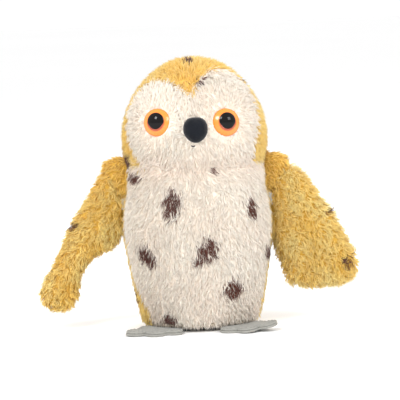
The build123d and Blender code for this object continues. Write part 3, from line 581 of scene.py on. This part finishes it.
def pile(name, roots, normals, combs, length, width, shaded_root_tone, tip_tone, rng,
         segments=3, lift=0.55, curl=0.0, per_tuft=7, gather=0.5):
    """Closed tapering strands, three-sided, gathered in tufts."""
    count = len(roots)
    owner, combs, to_middle = tufted(roots, combs, per_tuft, rng)
    combs = unit(combs - normals * (combs * normals).sum(axis=1, keepdims=True))
    side = np.cross(normals, combs)
    rise = lift * rng.uniform(0.75, 1.25, count)[:, None]
    phase = (rng.uniform(0, 2 * math.pi, count)[owner] + rng.normal(0, 0.5, count))[:, None]
    turns = rng.choice((-1.0, 1.0), count)[owner][:, None] * rng.uniform(0.8, 1.3, count)[:, None]
    reach = length[:, None]
    centres = np.empty((count, segments + 1, 3))
    for step in range(segments + 1):
        t = step / segments
        bend = t ** 1.5
        forward = combs * (reach * (0.25 * t + 0.75 * bend) * np.sqrt(1 - np.minimum(rise, 0.95) ** 2))
        up = normals * (reach * rise * (1.25 * t - 0.25 * bend))
        swirl = phase + turns * 2 * math.pi * t
        ring = side * np.cos(swirl) + (normals * 0.7 + combs * 0.7) * np.sin(swirl)
        coil = curl * min(1.0, 2 * t) * ring
        centres[:, step] = roots - normals * 0.6 + forward + up + coil + to_middle * gather * bend
    centres[:, :, 2] = np.maximum(centres[:, :, 2], FLOOR_GAP)
    shape = unit(centres[:, -1] - centres[:, 0])
    across = unit(np.cross(shape, normals) + side * 1e-3)
    over = np.cross(across, shape)
    corners = 3 * segments + 1
    points = np.empty((count, corners, 3))
    tones = np.empty((count, corners, 3))
    for step in range(segments):
        t = step / segments
        girth = (width * 0.5 * (1 - 0.75 * t ** 1.6))[:, None]
        for corner in range(3):
            turn = 2 * math.pi * corner / 3
            spoke = math.cos(turn) * across + math.sin(turn) * over
            points[:, 3 * step + corner] = centres[:, step] + girth * spoke
            # Each strand runs from painted shade at its root to its own colour at the tip
            tones[:, 3 * step + corner] = shaded_root_tone * (1 - t ** 0.8) + tip_tone * t ** 0.8
    points[:, -1] = centres[:, -1]
    tones[:, -1] = tip_tone
    loops, starts, cells = strand_template(segments)
    offsets = (np.arange(count) * corners)[:, None]
    indices = (loops[None, :] + offsets).ravel()
    begins = (starts[None, :] + (np.arange(count) * len(loops))[:, None]).ravel()
    mesh = bpy.data.meshes.new(name)
    mesh.vertices.add(count * corners)
    mesh.vertices.foreach_set("co", (points * MM).ravel())
    mesh.loops.add(len(indices))
    mesh.loops.foreach_set("vertex_index", indices)
    mesh.polygons.add(len(begins))
    mesh.polygons.foreach_set("loop_start", begins)
    mesh.update(calc_edges=True)
    layer = mesh.color_attributes.new("tone", "FLOAT_COLOR", "POINT")
    rgba = np.ones((count * corners, 4))
    rgba[:, :3] = np.clip(tones.reshape(-1, 3), 0, 1)
    layer.data.foreach_set("color", rgba.ravel())
    grid = math.ceil(math.sqrt(count))
    base = np.stack([np.arange(count) % grid, np.arange(count) // grid], axis=1)[:, None, :]
    atlas = mesh.uv_layers.new(name="OFBake")
    atlas.data.foreach_set("uv", ((base + cells[None]) / grid).ravel())
    mesh.shade_smooth()
    piece = bpy.data.objects.new(name, mesh)
    bpy.context.scene.collection.objects.link(piece)
    return piece


def strand_template(segments):
    """Corner numbers, face starts and bake positions of one strand."""
    loops, starts, cells = [], [], []

    def face(corners, spots):
        starts.append(len(loops))
        loops.extend(corners)
        cells.extend((0.1 + 0.8 * column / 3, 0.08 + 0.84 * row / segments) for column, row in spots)

    for step in range(segments - 1):
        for corner in range(3):
            after = (corner + 1) % 3
            low, high = 3 * step, 3 * step + 3
            face((low + corner, low + after, high + after, high + corner),
                 ((corner, step), (corner + 1, step), (corner + 1, step + 1), (corner, step + 1)))
    low = 3 * (segments - 1)
    for corner in range(3):
        after = (corner + 1) % 3
        face((low + corner, low + after, 3 * segments),
             ((corner, segments - 1), (corner + 1, segments - 1), (corner + 0.5, segments)))
    face((2, 1, 0), ((0, 0), (1, 0), (2, 0.1)))
    return np.array(loops), np.array(starts), np.array(cells)


def shade(tones, rng, amount=0.06):
    """Small brightness differences from strand to strand."""
    return tones * (1 + rng.normal(0, amount, (len(tones), 1)))


def wave(points, size, phase):
    """Slow wandering value between 0 and 1 over the surface."""
    x, y, z = points.T / size
    value = (np.sin(x * 2.1 + phase) + np.sin(z * 1.7 + 1.3 * phase + y)
             + np.sin((x + z) * 1.1 - y * 1.3 + phase))
    return 0.5 + value / 6


def dab_mask(points, dabs, rng):
    """1 where a strand of the front belongs to a dark dab, with frayed edges."""
    x, _, z = points.T
    front = points[:, 1] < WING_MID_Y
    mask = np.zeros(len(points))
    for dab in dabs:
        dx, dz = x - dab[0], z - dab[1]
        slant = dab[4] if len(dab) > 4 else 0.0
        along = dz * math.cos(slant) + dx * math.sin(slant)
        across = dx * math.cos(slant) - dz * math.sin(slant)
        size = np.hypot(across / (dab[2] / 2), along / (dab[3] / 2))
        size = size + 0.22 * np.sin(across * 1.9 + along * 1.3) + rng.normal(0, 0.14, len(x))
        mask = np.maximum(mask, np.clip((1.12 - size) * 8, 0, 1) * front)
    return mask[:, None]


def blended(low, high, amount):
    amount = np.asarray(amount).reshape(-1, 1)
    return np.asarray(low) * (1 - amount) + np.asarray(high) * amount


def body_combs(points, normals, labels, rng):
    """Which way the pile lies on each panel."""
    x, y, z = points.T
    down = np.array([0.0, 0.0, -1.0])
    combs = np.tile(down, (len(points), 1))
    combs[:, 0] += 0.25 * np.sin(z / 9.0) * (labels >= 2)
    face = labels == 0
    hubs = np.array([(BEAK_X, BEAK_Z - 2)] + [(side * x, z) for side, (x, z) in EYE_SEATS.items()])
    gaps = np.stack([np.hypot(x - hx, z - hz) - reach for (hx, hz), reach in zip(hubs, (9, 11, 11))])
    weights = np.exp(-np.maximum(gaps, 0) / 9.0)
    away = np.zeros((len(points), 3))
    for (hx, hz), weight in zip(hubs, weights):
        away[:, 0] += (x - hx) / np.maximum(np.hypot(x - hx, z - hz), 1) * weight
        away[:, 2] += (z - hz) / np.maximum(np.hypot(x - hx, z - hz), 1) * weight
    away[:, 2] -= 0.10
    combs[face] = away[face]
    crown = labels == 1
    swept = np.column_stack([x * 0.012, 0.55 + 0 * y, np.clip((210 - z) / 30, -0.2, 1.4) * -0.8])
    combs[crown] = swept[crown]
    neck = np.exp(-((z - NECK_Z + 6) / 9.0) ** 2)[:, None]
    sideways = np.column_stack([np.clip(x / 30, -1, 1) * 0.9, 0 * y, 0 * z])
    combs = combs * (1 - 0.55 * neck) + sideways * 0.55 * neck
    stray = rng.normal(0, 0.42, (len(points), 3))
    tangent = unit(combs) + stray
    return unit(tangent - normals * (tangent * normals).sum(axis=1, keepdims=True))


def body_pile(form, rng):
    """Pile of the whole body, a piece for each half of each panel."""
    density, lengths, widths = BODY_STRANDS
    points, normals = scatter(form, density, rng)
    clear = (points[:, 2] > HEM_Z - 0.6)
    for side in (-1, 1):
        clear &= eye_offset(points, side) > IRIS_RADIUS - 1.2
    x, y, z = points.T
    clear &= ~(inside(BEAK_OUTLINE * 0.92 + (BEAK_X, BEAK_Z), x, z) & (y < 0))
    clear &= ~((np.abs(x) > 50) & (np.abs(y - WING_MID_Y) < 6) & (z > 116) & (z < 134))
    points, normals = points[clear], normals[clear]
    labels = panel_of(points)
    combs = body_combs(points, normals, labels, rng)
    x, y, z = points.T
    hem = np.clip((14 - z) / 8, 0, 1)
    combs = unit(combs * (1 - hem[:, None]) + np.array([0, 0, -1.0]) * hem[:, None])
    length = rng.uniform(*lengths, len(points))
    near = np.minimum(eye_offset(points, -1), eye_offset(points, 1)) - IRIS_RADIUS
    length *= np.clip(0.60 + near / 22, 0.6, 1)
    width = rng.uniform(*widths, len(points))
    middle = points + combs * (length * 0.5)[:, None]
    low_side = LOW_GOLD_SHIFT * np.clip((LOW_GOLD_BELOW_Z - z) / LOW_GOLD_OVER, 0, 1) * (x < 0)
    shown = panel_of(middle + np.column_stack([0 * x, low_side, 0 * z]))
    peach = 0.28 * wave(points, 14, 0.4) + 0.35 * np.exp(-((z - NECK_Z) / 10) ** 2)
    peach += 0.25 * np.clip((60 - z) / 60, 0, 1) * wave(points, 18, 2.0)
    cream = blended(CREAM, PEACH, np.clip(peach, 0, 0.8))
    gold = blended(GOLD, PALE_GOLD, wave(points, 16, 1.1))
    peak = np.exp(-(np.hypot(x / 16, (z - 206) / 12)) ** 2) * (y < 0)
    gold = gold * (1 - 0.5 * peak[:, None]) + np.asarray(DEEP_GOLD) * 0.5 * peak[:, None]
    tones = np.where((shown % 2 == 0)[:, None], cream, gold)
    dark = dab_mask(middle, DABS, rng)
    tones = tones * (1 - dark) + np.asarray(BROWN) * dark
    tips = shade(tones, rng)
    # Painted shade at the roots of the strands
    shadow = np.where((shown % 2 == 0)[:, None], CREAM_ROOT_SHADE, GOLD_ROOT_SHADE)
    for label, panel in enumerate(PANELS):
        slot = "cream_plush" if label % 2 == 0 else "golden_plush"
        for half, name in ((x > 0, "_left_pile"), (x <= 0, "_right_pile")):
            part = (labels == label) & half
            fur = pile(panel + name, points[part], normals[part], combs[part], length[part], width[part],
                       (tips * shadow)[part], tips[part], rng, lift=0.50, curl=0.35)
            finished(fur, slot, "torso", material=FUR)


# ------------------------------------------------------------------ wings

def wing_form(name, rim, side):
    """Padded wing from its outline, sewn round the rim."""
    outline = np.vstack([through(rim, 90), WING_ROOT])
    ahead = np.roll(outline, -1, axis=0) - np.roll(outline, 1, axis=0)
    inward = unit(np.column_stack([ahead[:, 1], -ahead[:, 0]]))
    draw = np.clip((outline[:, 0] - 64) / 14, 0, 1)
    outline = outline + inward * (WING_PILE_DEPTH * draw)[:, None]
    outline[-3:, 0] -= (3.5, 3.0, 9.0)
    work = bmesh.new()
    front = [work.verts.new((side * x * MM, (WING_MID_Y - WING_HALF) * MM, z * MM)) for x, z in outline]
    flat = work.faces.new(front)
    extruded = bmesh.ops.extrude_face_region(work, geom=[flat])
    moved = [item for item in extruded["geom"] if isinstance(item, bmesh.types.BMVert)]
    bmesh.ops.translate(work, verts=moved, vec=(0, 2 * WING_HALF * MM, 0))
    bmesh.ops.triangulate(work, faces=work.faces[:])
    bmesh.ops.recalc_face_normals(work, faces=work.faces[:])
    mesh = bpy.data.meshes.new(name)
    work.to_mesh(mesh)
    work.free()
    piece = bpy.data.objects.new(name, mesh)
    bpy.context.scene.collection.objects.link(piece)
    remeshed(piece, 4.0)
    points = positions(piece.data)
    depth = edge_distance(outline, side * points[:, 0], points[:, 2])
    crown = 1 - np.exp(-depth / 9.0)
    points[:, 1] = WING_MID_Y + (points[:, 1] - WING_MID_Y) * (0.72 + 0.40 * crown)
    move_points(piece.data, points)
    return puffed(piece, 4.0, 2.5)


def wing_pile(name, form, side, rng):
    """Curly pile of a wing, its front and its back as two pieces."""
    density, lengths, widths = WING_STRANDS
    points, normals = scatter(form, density, rng)
    x, y, z = points.T
    clear = ~((side * x < 64) & (z > 88) & (np.abs(y - WING_MID_Y) < 7))
    points, normals = points[clear], normals[clear]
    x, y, z = points.T
    combs = np.column_stack([side * (0.45 + 0.2 * np.sin(z / 11)), 0 * y, -0.9 + 0.2 * np.sin(x / 9)])
    combs = unit(combs) + rng.normal(0, 0.65, (len(points), 3))
    combs = unit(combs - normals * (combs * normals).sum(axis=1, keepdims=True))
    length = rng.uniform(*lengths, len(points))
    width = rng.uniform(*widths, len(points))
    # Slow random patches towards the pale gold of the pile's highlights: real tone differences mixed with
    # painted highlight
    highlight_share = np.clip(wave(points, 9, 0.7 + side) + rng.normal(0, 0.2, len(points)), 0, 1)
    tones = blended(WING_GOLD, WING_HIGHLIGHT_GOLD, highlight_share)
    if side > 0:
        tones = tones * (1.0, 1.03, 1.12)
    dark = dab_mask(points + combs * 2, WING_DABS, rng)
    tones = tones * (1 - dark) + np.asarray(BROWN) * dark
    tips = shade(tones, rng, 0.08)
    pieces = []
    for half, label in ((y < WING_MID_Y, "_front_pile"), (y >= WING_MID_Y, "_back_pile")):
        pieces.append(pile(name + label, points[half], normals[half], combs[half], length[half], width[half],
                           (tips * WING_ROOT_SHADE)[half], tips[half], rng,
                           segments=5, lift=0.60, curl=0.95, per_tuft=8, gather=0.62))
    return pieces


def shoulder_form(name, side):
    """Fabric between the body and the top of a wing."""
    outline = np.array([(52, 142), (64, 143), (77, 138), (74, 128), (64, 113), (52, 113)])
    outline = through(outline, 40, closed=True)
    layers = []
    for y, shrink in ((-6.5, 0.55), (-5.5, 0.85), (-1, 1.0), (6, 1.0), (10.5, 0.85), (11.5, 0.55)):
        centre = outline.mean(axis=0)
        ring = centre + (outline - centre) * shrink
        layers.append(np.column_stack([side * ring[:, 0], np.full(len(ring), y), ring[:, 1]]))
    points = np.vstack(layers)
    size = len(outline)
    faces = [list(range(size)), list(range(5 * size, 6 * size))] + ring_faces(len(layers), size)
    piece = outward(mesh_piece(name, points, faces))
    return remeshed(piece, 2.5)


def shoulder_pile(name, form, side, rng):
    """Pile that hides where the wing meets the body."""
    density, lengths, widths = SHOULDER_STRANDS
    points, normals = scatter(form, density, rng)
    clear = (side * points[:, 0] > 57)
    points, normals = points[clear], normals[clear]
    combs = np.tile((side * 0.6, 0.0, -0.7), (len(points), 1)) + rng.normal(0, 0.45, (len(points), 3))
    combs = unit(combs - normals * (combs * normals).sum(axis=1, keepdims=True))
    tones = shade(blended(GOLD, WING_GOLD, rng.random(len(points))), rng)
    length = rng.uniform(*lengths, len(points))
    width = rng.uniform(*widths, len(points))
    # The roots carry painted shade
    return pile(name, points, normals, combs, length, width, tones * SHOULDER_ROOT_SHADE, tones, rng,
                segments=4, curl=0.6)


# ------------------------------------------------------------------ face trim

BEAK_LOOP = [(0, 10.6), *BEAK_HALF, (0, -10.8), *[(-x, z) for x, z in reversed(BEAK_HALF)]]
BEAK_OUTLINE = through(BEAK_LOOP, 72, closed=True)


def turned(name, profile, centre, out, segments=64, tone=None):
    """Surface of revolution about the direction out, from (radius, height) pairs."""
    across = unit(np.cross((0, 0, 1), out))
    over = np.cross(out, across)
    points, tones = [], []
    for radius, height in profile:
        for index in range(segments):
            turn = 2 * math.pi * index / segments
            spoke = math.cos(turn) * across + math.sin(turn) * over
            points.append(centre + out * height + spoke * radius)
            if tone:
                tones.append(tone(radius, turn))
    faces = ring_faces(len(profile), segments)
    faces.append(list(range(segments)))
    faces.append(list(range((len(profile) - 1) * segments, len(profile) * segments)))
    return outward(mesh_piece(name, points, faces, tones or None))


def iris_tone(radius, turn):
    """Orange ring, redder by the pupil and darker at the bottom of its rim."""
    part = min(1, max(0, (radius - PUPIL_RADIUS) / (IRIS_RADIUS - PUPIL_RADIUS)))
    inner, middle, outer = (np.array(colour) for colour in (IRIS_INNER, IRIS_MIDDLE, IRIS_OUTER))
    tone = inner + (middle - inner) * min(1, part / 0.22)
    rim = max(0, (part - 0.72) / 0.28)
    low = 0.35 + 0.65 * max(0, -math.sin(turn))
    tone = tone + (outer - tone) * rim * low
    return tone * (1 + 0.04 * math.sin(23 * turn) + 0.03 * math.sin(37 * turn + 1))


def eyes():
    """Shallow amber domes with glossy pupils standing on them."""
    ball = (IRIS_RADIUS ** 2 + IRIS_HEIGHT ** 2) / (2 * IRIS_HEIGHT)
    for side, name in ((1, "left"), (-1, "right")):
        centre, out = eye_seat(side)
        rows = [(IRIS_RADIUS - 0.4, -2.0), (IRIS_RADIUS, -1.6), (IRIS_RADIUS, 0.1)]
        for radius in np.linspace(IRIS_RADIUS - 0.12, PUPIL_RADIUS - 1.1, 18):
            rows.append((radius, math.sqrt(ball ** 2 - radius ** 2) - ball + IRIS_HEIGHT + 0.1))
        rows.append((PUPIL_RADIUS - 1.1, 2.8))
        iris = turned(name + "_iris", rows, centre, out, 96, iris_tone)
        finished(iris, "amber_eye", "torso", [name + "_eye"])
        dome = (PUPIL_RADIUS ** 2 + PUPIL_HEIGHT ** 2) / (2 * PUPIL_HEIGHT)
        rows = [(PUPIL_RADIUS, 2.9), (PUPIL_RADIUS, 3.45)]
        for radius in np.linspace(PUPIL_RADIUS - 0.08, 0.05, 20):
            rows.append((radius, math.sqrt(dome ** 2 - radius ** 2) - dome + 5.9))
        up = unit(np.cross(out, np.cross((0, 0, 1), out)))
        lens = turned(name + "_pupil_dome", rows, centre + up * PUPIL_RISE, out, 96)
        finished(lens, "black_pupil", "torso", [name + "_pupil"])


def beak(rng):
    """Padded velour shield with faint gathers."""
    rings = 16
    points = []
    size = len(BEAK_OUTLINE)
    for ring in range(rings + 1):
        part = 1 - ring / rings * 0.985
        bulge = (1 - part ** 2.6) ** 0.55
        for x, z in BEAK_OUTLINE * part:
            gather = 0.16 * math.sin(1.55 * x + 0.6 * math.sin(0.5 * z)) * bulge * part
            gather += 0.10 * math.sin(0.9 * z + 0.7 * x)
            points.append((BEAK_X + x, -56.0 + (BEAK_FRONT_Y + 56.0) * bulge + gather, BEAK_Z + z))
    faces = ring_faces(rings + 1, size)
    faces.append(list(range(rings * size, (rings + 1) * size)))
    faces.append(list(range(size)))
    cover = outward(mesh_piece("beak_pad", points, faces))
    finished(cover, "black_velour", "torso", ["beak_cover", "beak_stuffing"])
    density, lengths, nap_width = NAP_STRANDS
    places, normals = scatter(cover, density, rng)
    keep = places[:, 1] < -58.5
    places, normals = places[keep], normals[keep]
    combs = np.tile((0.0, 0.0, -1.0), (len(places), 1)) + rng.normal(0, 0.7, (len(places), 3))
    combs = unit(combs - normals * (combs * normals).sum(axis=1, keepdims=True))
    shades = shade(np.tile(BLACK_NAP, (len(places), 1)), rng, 0.3)
    # The nap's roots are painted at 0.6 of its colour: painted shade among the strands
    nap = pile("beak_nap", places, normals, combs, rng.uniform(*lengths, len(places)),
               np.full(len(places), nap_width), shades * 0.6, shades, rng, segments=2, lift=0.7)
    finished(nap, "black_velour", "torso", material=FUR)


def tube(name, path, radius, sides=10):
    """Round thread along a path, closed at both ends."""
    path = np.asarray(path, float)
    heading = unit(np.gradient(path, axis=0))
    across = unit(np.cross(heading, (0.13, 0.31, 0.94)))
    over = np.cross(heading, across)
    points = []
    for place, first, second in zip(path, across, over):
        for index in range(sides):
            turn = 2 * math.pi * index / sides
            points.append(place + radius * (math.cos(turn) * first + math.sin(turn) * second))
    faces = ring_faces(len(path), sides)
    faces += [list(range(sides)), list(range((len(path) - 1) * sides, len(path) * sides))]
    return outward(mesh_piece(name, points, faces))


def joined(pieces, name):
    """One object made of several meshes."""
    work = bmesh.new()
    for piece in pieces:
        work.from_mesh(piece.data)
        bpy.data.objects.remove(piece)
    mesh = bpy.data.meshes.new(name)
    work.to_mesh(mesh)
    work.free()
    mesh.shade_smooth()
    whole = bpy.data.objects.new(name, mesh)
    bpy.context.scene.collection.objects.link(whole)
    return whole


def beak_stitch():
    """Two plies of black thread in a short stitch under the beak."""
    plies = []
    for ply in (0, 1):
        t = np.linspace(0, 1, 28)
        twist = 2 * math.pi * 3 * t + math.pi * ply
        path = np.column_stack([-2.7 + 3.2 * t, -63.4 - 1.2 * np.sin(math.pi * t) + 0.22 * np.cos(twist),
                                BEAK_Z - STITCH_DROP - 0.5 * np.sin(math.pi * t) + 0.22 * np.sin(twist)])
        plies.append(tube("ply", path, 0.34))
    finished(joined(plies, "beak_thread"), "black_thread", "torso", ["beak_stitch"])


# ------------------------------------------------------------------ feet and base

def foot_outline(inset, count=180):
    """Left foot from above as distances round a point: a heel and three toes."""
    centre = np.array(FOOT_CENTRE)
    turns = 2 * math.pi * np.arange(count) / count
    rays = np.column_stack([np.cos(turns), np.sin(turns)])
    ring = np.zeros(count)
    for distance in np.arange(2, 40, 0.1):
        x, y = (centre + rays * distance).T
        within = np.hypot((x - HEEL[0]) / HEEL_HALF[0], (y - HEEL[1]) / HEEL_HALF[1]) < 1
        for angle, reach, half in TOES:
            heading = math.radians(angle - 90)
            along = (x - TOE_ROOT[0]) * math.cos(heading) + (y - TOE_ROOT[1]) * math.sin(heading)
            across = -(x - TOE_ROOT[0]) * math.sin(heading) + (y - TOE_ROOT[1]) * math.cos(heading)
            gap = np.maximum(0, np.abs(along - reach / 2) - (reach / 2 - half))
            within |= np.hypot(gap, across) < half
        ring[within] = distance
    for _ in range(3):
        ring = (np.roll(ring, 1) + 2 * ring + np.roll(ring, -1)) / 4
    return centre + (ring - inset)[:, None] * rays, centre


def rise_outside(x, y):
    """How much a foot bends up at (x, y): nothing under the body, 1 at its outer toe."""
    return max(0.0, (x - 24) / 38) ** 2 * max(0.0, min(1.0, math.hypot(x, y) / 20 - 2.3))


def felt_layer(name, side, low, high, inset, lift):
    """A layer of cut felt with soft edges, bent up a little towards the outside."""
    outline, centre = foot_outline(inset)
    size = len(outline)
    rows = [(1.0, low, -0.45), (1.0, low + 0.45, 0.0), (1.0, high - 0.45, 0.0), (1.0, high, -0.45)]
    points = []
    inner = [0.08, 0.3, 0.55, 0.8]
    profile = [(part, low, 0.0) for part in inner] + rows + [(part, high, 0.0) for part in reversed(inner)]
    for part, z, grow in profile:
        for index, (x, y) in enumerate(outline):
            ray = unit(np.array((x, y)) - centre)
            px, py = centre + (np.array((x, y)) - centre) * part + ray * grow
            wobble = 0.18 * math.sin(0.9 * px) * math.sin(0.7 * py + 1)
            outer = rise_outside(px, py)
            points.append((side * px, py, z + lift * outer + wobble * (part > 0.5)))
    faces = ring_faces(len(profile), size)
    faces += [list(range(size)), list(range((len(profile) - 1) * size, len(profile) * size))]
    return outward(mesh_piece(name, points, faces))


def edge_stitches(name, side, lift):
    """Running stitch near the rim of a foot, joining the two layers."""
    outline, _ = foot_outline(2.2)
    loop = through(outline, 76, closed=True)
    stitches = []
    for index in range(0, 76, 2):
        a, b = loop[index], loop[(index + 1) % 76]
        if math.hypot(*a) < 50:
            continue
        path = []
        for t in np.linspace(0, 1, 6):
            x, y = a + (b - a) * t
            outer = rise_outside(x, y)
            path.append((side * x, y, 3.95 + 0.35 * math.sin(math.pi * t) + lift * outer))
        stitches.append(tube("stitch", path, 0.22, 6))
    return joined(stitches, name)


def feet():
    """Two felt layers and their stitching for each foot."""
    for side, name in ((1, "left"), (-1, "right")):
        lift = FOOT_LIFT[name]
        sole = felt_layer(name + "_felt_sole", side, *FELT_SOLE_Z, 0.0, lift)
        finished(sole, "grey_felt", "torso", [name + "_foot_sole"])
        top = felt_layer(name + "_felt_top", side, *FELT_TOP_Z, 0.6, lift)
        finished(top, "grey_felt", "torso", [name + "_foot_top"])
        finished(edge_stitches(name + "_foot_stitching", side, lift), "grey_felt", "torso")


def base_fabric():
    """Lining that closes the bottom, from the hem to the base plate."""
    around, steps = 120, 7
    half = np.array(PLATE_HALF)
    points = []
    for step in range(steps):
        t = step / (steps - 1)
        for index in range(around):
            turn = 2 * math.pi * index / around
            ray = np.array((math.cos(turn), math.sin(turn)))
            plate = ray * 30
            for reach in np.arange(30, 46, 0.1):
                x, y = np.abs(ray * reach)
                corner = np.maximum((x - half[0] + PLATE_CORNER, y - half[1] + PLATE_CORNER), 0)
                if math.hypot(*corner) > PLATE_CORNER:
                    break
                plate = ray * reach
            outer = ray * LINING_RADIUS
            place = plate + (outer - plate) * t
            sag = (4.6 + 1.6 * t ** 3 - 0.5 * math.sin(math.pi * t)
                   + 0.25 * math.sin(9 * turn) * t * (1 - t) * 4)
            points.append((place[0], place[1], sag))
    piece = mesh_piece("base_lining", points, ring_faces(steps, around))
    solid = piece.modifiers.new("fabric", "SOLIDIFY")
    solid.thickness = 1.0 * MM
    solid.offset = 0
    outward(applied(piece))
    finished(piece, "lining_fabric", "torso", ["base_fabric"])


# ------------------------------------------------------------------ the scene

def studio():
    """Pale floor, soft light and the camera."""
    floor_size = 40.0
    points = [(-1, -1, 0), (1, -1, 0), (1, 1, 0), (-1, 1, 0)]
    floor = mesh_piece("floor", np.array(points) * floor_size / 2 / MM, [(0, 1, 2, 3)])
    paper = node_material("floor", (0.93, 0.93, 0.93), (0.96, 0.96, 0.96), 0.5, (0.8, 0.9), 0.0)
    floor.data.materials.append(paper)
    scene = bpy.context.scene
    scene.view_settings.view_transform = "Standard"
    world = bpy.data.worlds.new("studio")
    world.use_nodes = True
    world.node_tree.nodes["Background"].inputs["Color"].default_value = (1, 1, 1, 1)
    world.node_tree.nodes["Background"].inputs["Strength"].default_value = 1.05
    scene.world = world
    for name, place, size, power in (
        ("key", (-0.75, -1.25, 1.25), 0.55, 17.0),
        ("fill", (1.1, -1.0, 0.9), 0.6, 9.0),
        ("back", (0.2, 1.3, 1.4), 1.0, 10.0),
    ):
        light = bpy.data.lights.new(name, "AREA")
        light.size = size
        light.energy = power
        lamp = bpy.data.objects.new(name, light)
        lamp.location = place
        lamp.rotation_mode = "QUATERNION"
        lamp.rotation_quaternion = (Vector((0, 0, 0.11)) - Vector(place)).to_track_quat("-Z", "Y")
        scene.collection.objects.link(lamp)
    camera_data = bpy.data.cameras.new("camera")
    camera = bpy.data.objects.new("camera", camera_data)
    distance, elevation, roll = 2.0, math.radians(5), math.radians(-2.2)
    frame_width = 0.338
    target = Vector((0.0027, 0, 0.106))
    back = Vector((0, -math.cos(elevation), math.sin(elevation)))
    camera.location = target + back * distance
    camera.rotation_mode = "QUATERNION"
    turn = (-back).to_track_quat("-Z", "Y")
    camera.rotation_quaternion = (turn.to_matrix() @ Matrix.Rotation(roll, 3, "Z")).to_quaternion()
    camera_data.sensor_width = 36.0
    camera_data.lens = camera_data.sensor_width * distance / frame_width
    camera_data.clip_start, camera_data.clip_end = 0.01, 100.0
    scene.collection.objects.link(camera)
    scene.camera = camera


def carried_over():
    """Gives each CAD node the material of its slot."""
    for part in frame["record"]["subparts"]:
        node = frame["nodes"][part["node"]]
        for place in node.material_slots:
            place.material = MATERIALS[part["material_slot"]]


studio()
RNG = np.random.default_rng(SEED)

FORM = body_form()
FILL = {"face": ["face_panel", "head_stuffing"], "crown": ["crown_panel"],
        "belly": ["belly_panel", "body_stuffing"], "back": ["back_panel"]}
for LABEL, PANEL in enumerate(PANELS):
    SKIN = split_panel(FORM, LABEL, PANEL + "_fabric")
    finished(SKIN, "cream_plush" if LABEL % 2 == 0 else "golden_plush", "torso", FILL[PANEL])
body_pile(FORM, RNG)
bpy.data.objects.remove(FORM)

for SIDE, NAME, RIM in ((1, "left", LEFT_RIM), (-1, "right", RIGHT_RIM)):
    WING = wing_form(NAME + "_wing_fabric", RIM, SIDE)
    WING_FUR = wing_pile(NAME + "_wing", WING, SIDE, RNG)
    finished(WING, "wing_plush", NAME + "_wing", [NAME + "_wing_skin", NAME + "_wing_stuffing"])
    for FUR_PIECE in WING_FUR:
        finished(FUR_PIECE, "wing_plush", NAME + "_wing", material=FUR)
    CROSSING = [Vector((SIDE * x, y, z)) for x, y, z in SHOULDER_CROSSING]
    SHOULDER = shoulder_form(NAME + "_shoulder_fabric", SIDE)
    SHOULDER_FUR = shoulder_pile(NAME + "_shoulder_pile", SHOULDER, SIDE, RNG)
    finished(SHOULDER, "wing_plush", ("torso", NAME + "_wing"), [NAME + "_shoulder_gusset"],
             blend=CROSSING)
    finished(SHOULDER_FUR, "wing_plush", ("torso", NAME + "_wing"), material=FUR, blend=CROSSING)

carried_over()
eyes()
beak(RNG)
beak_stitch()
feet()
base_fabric()
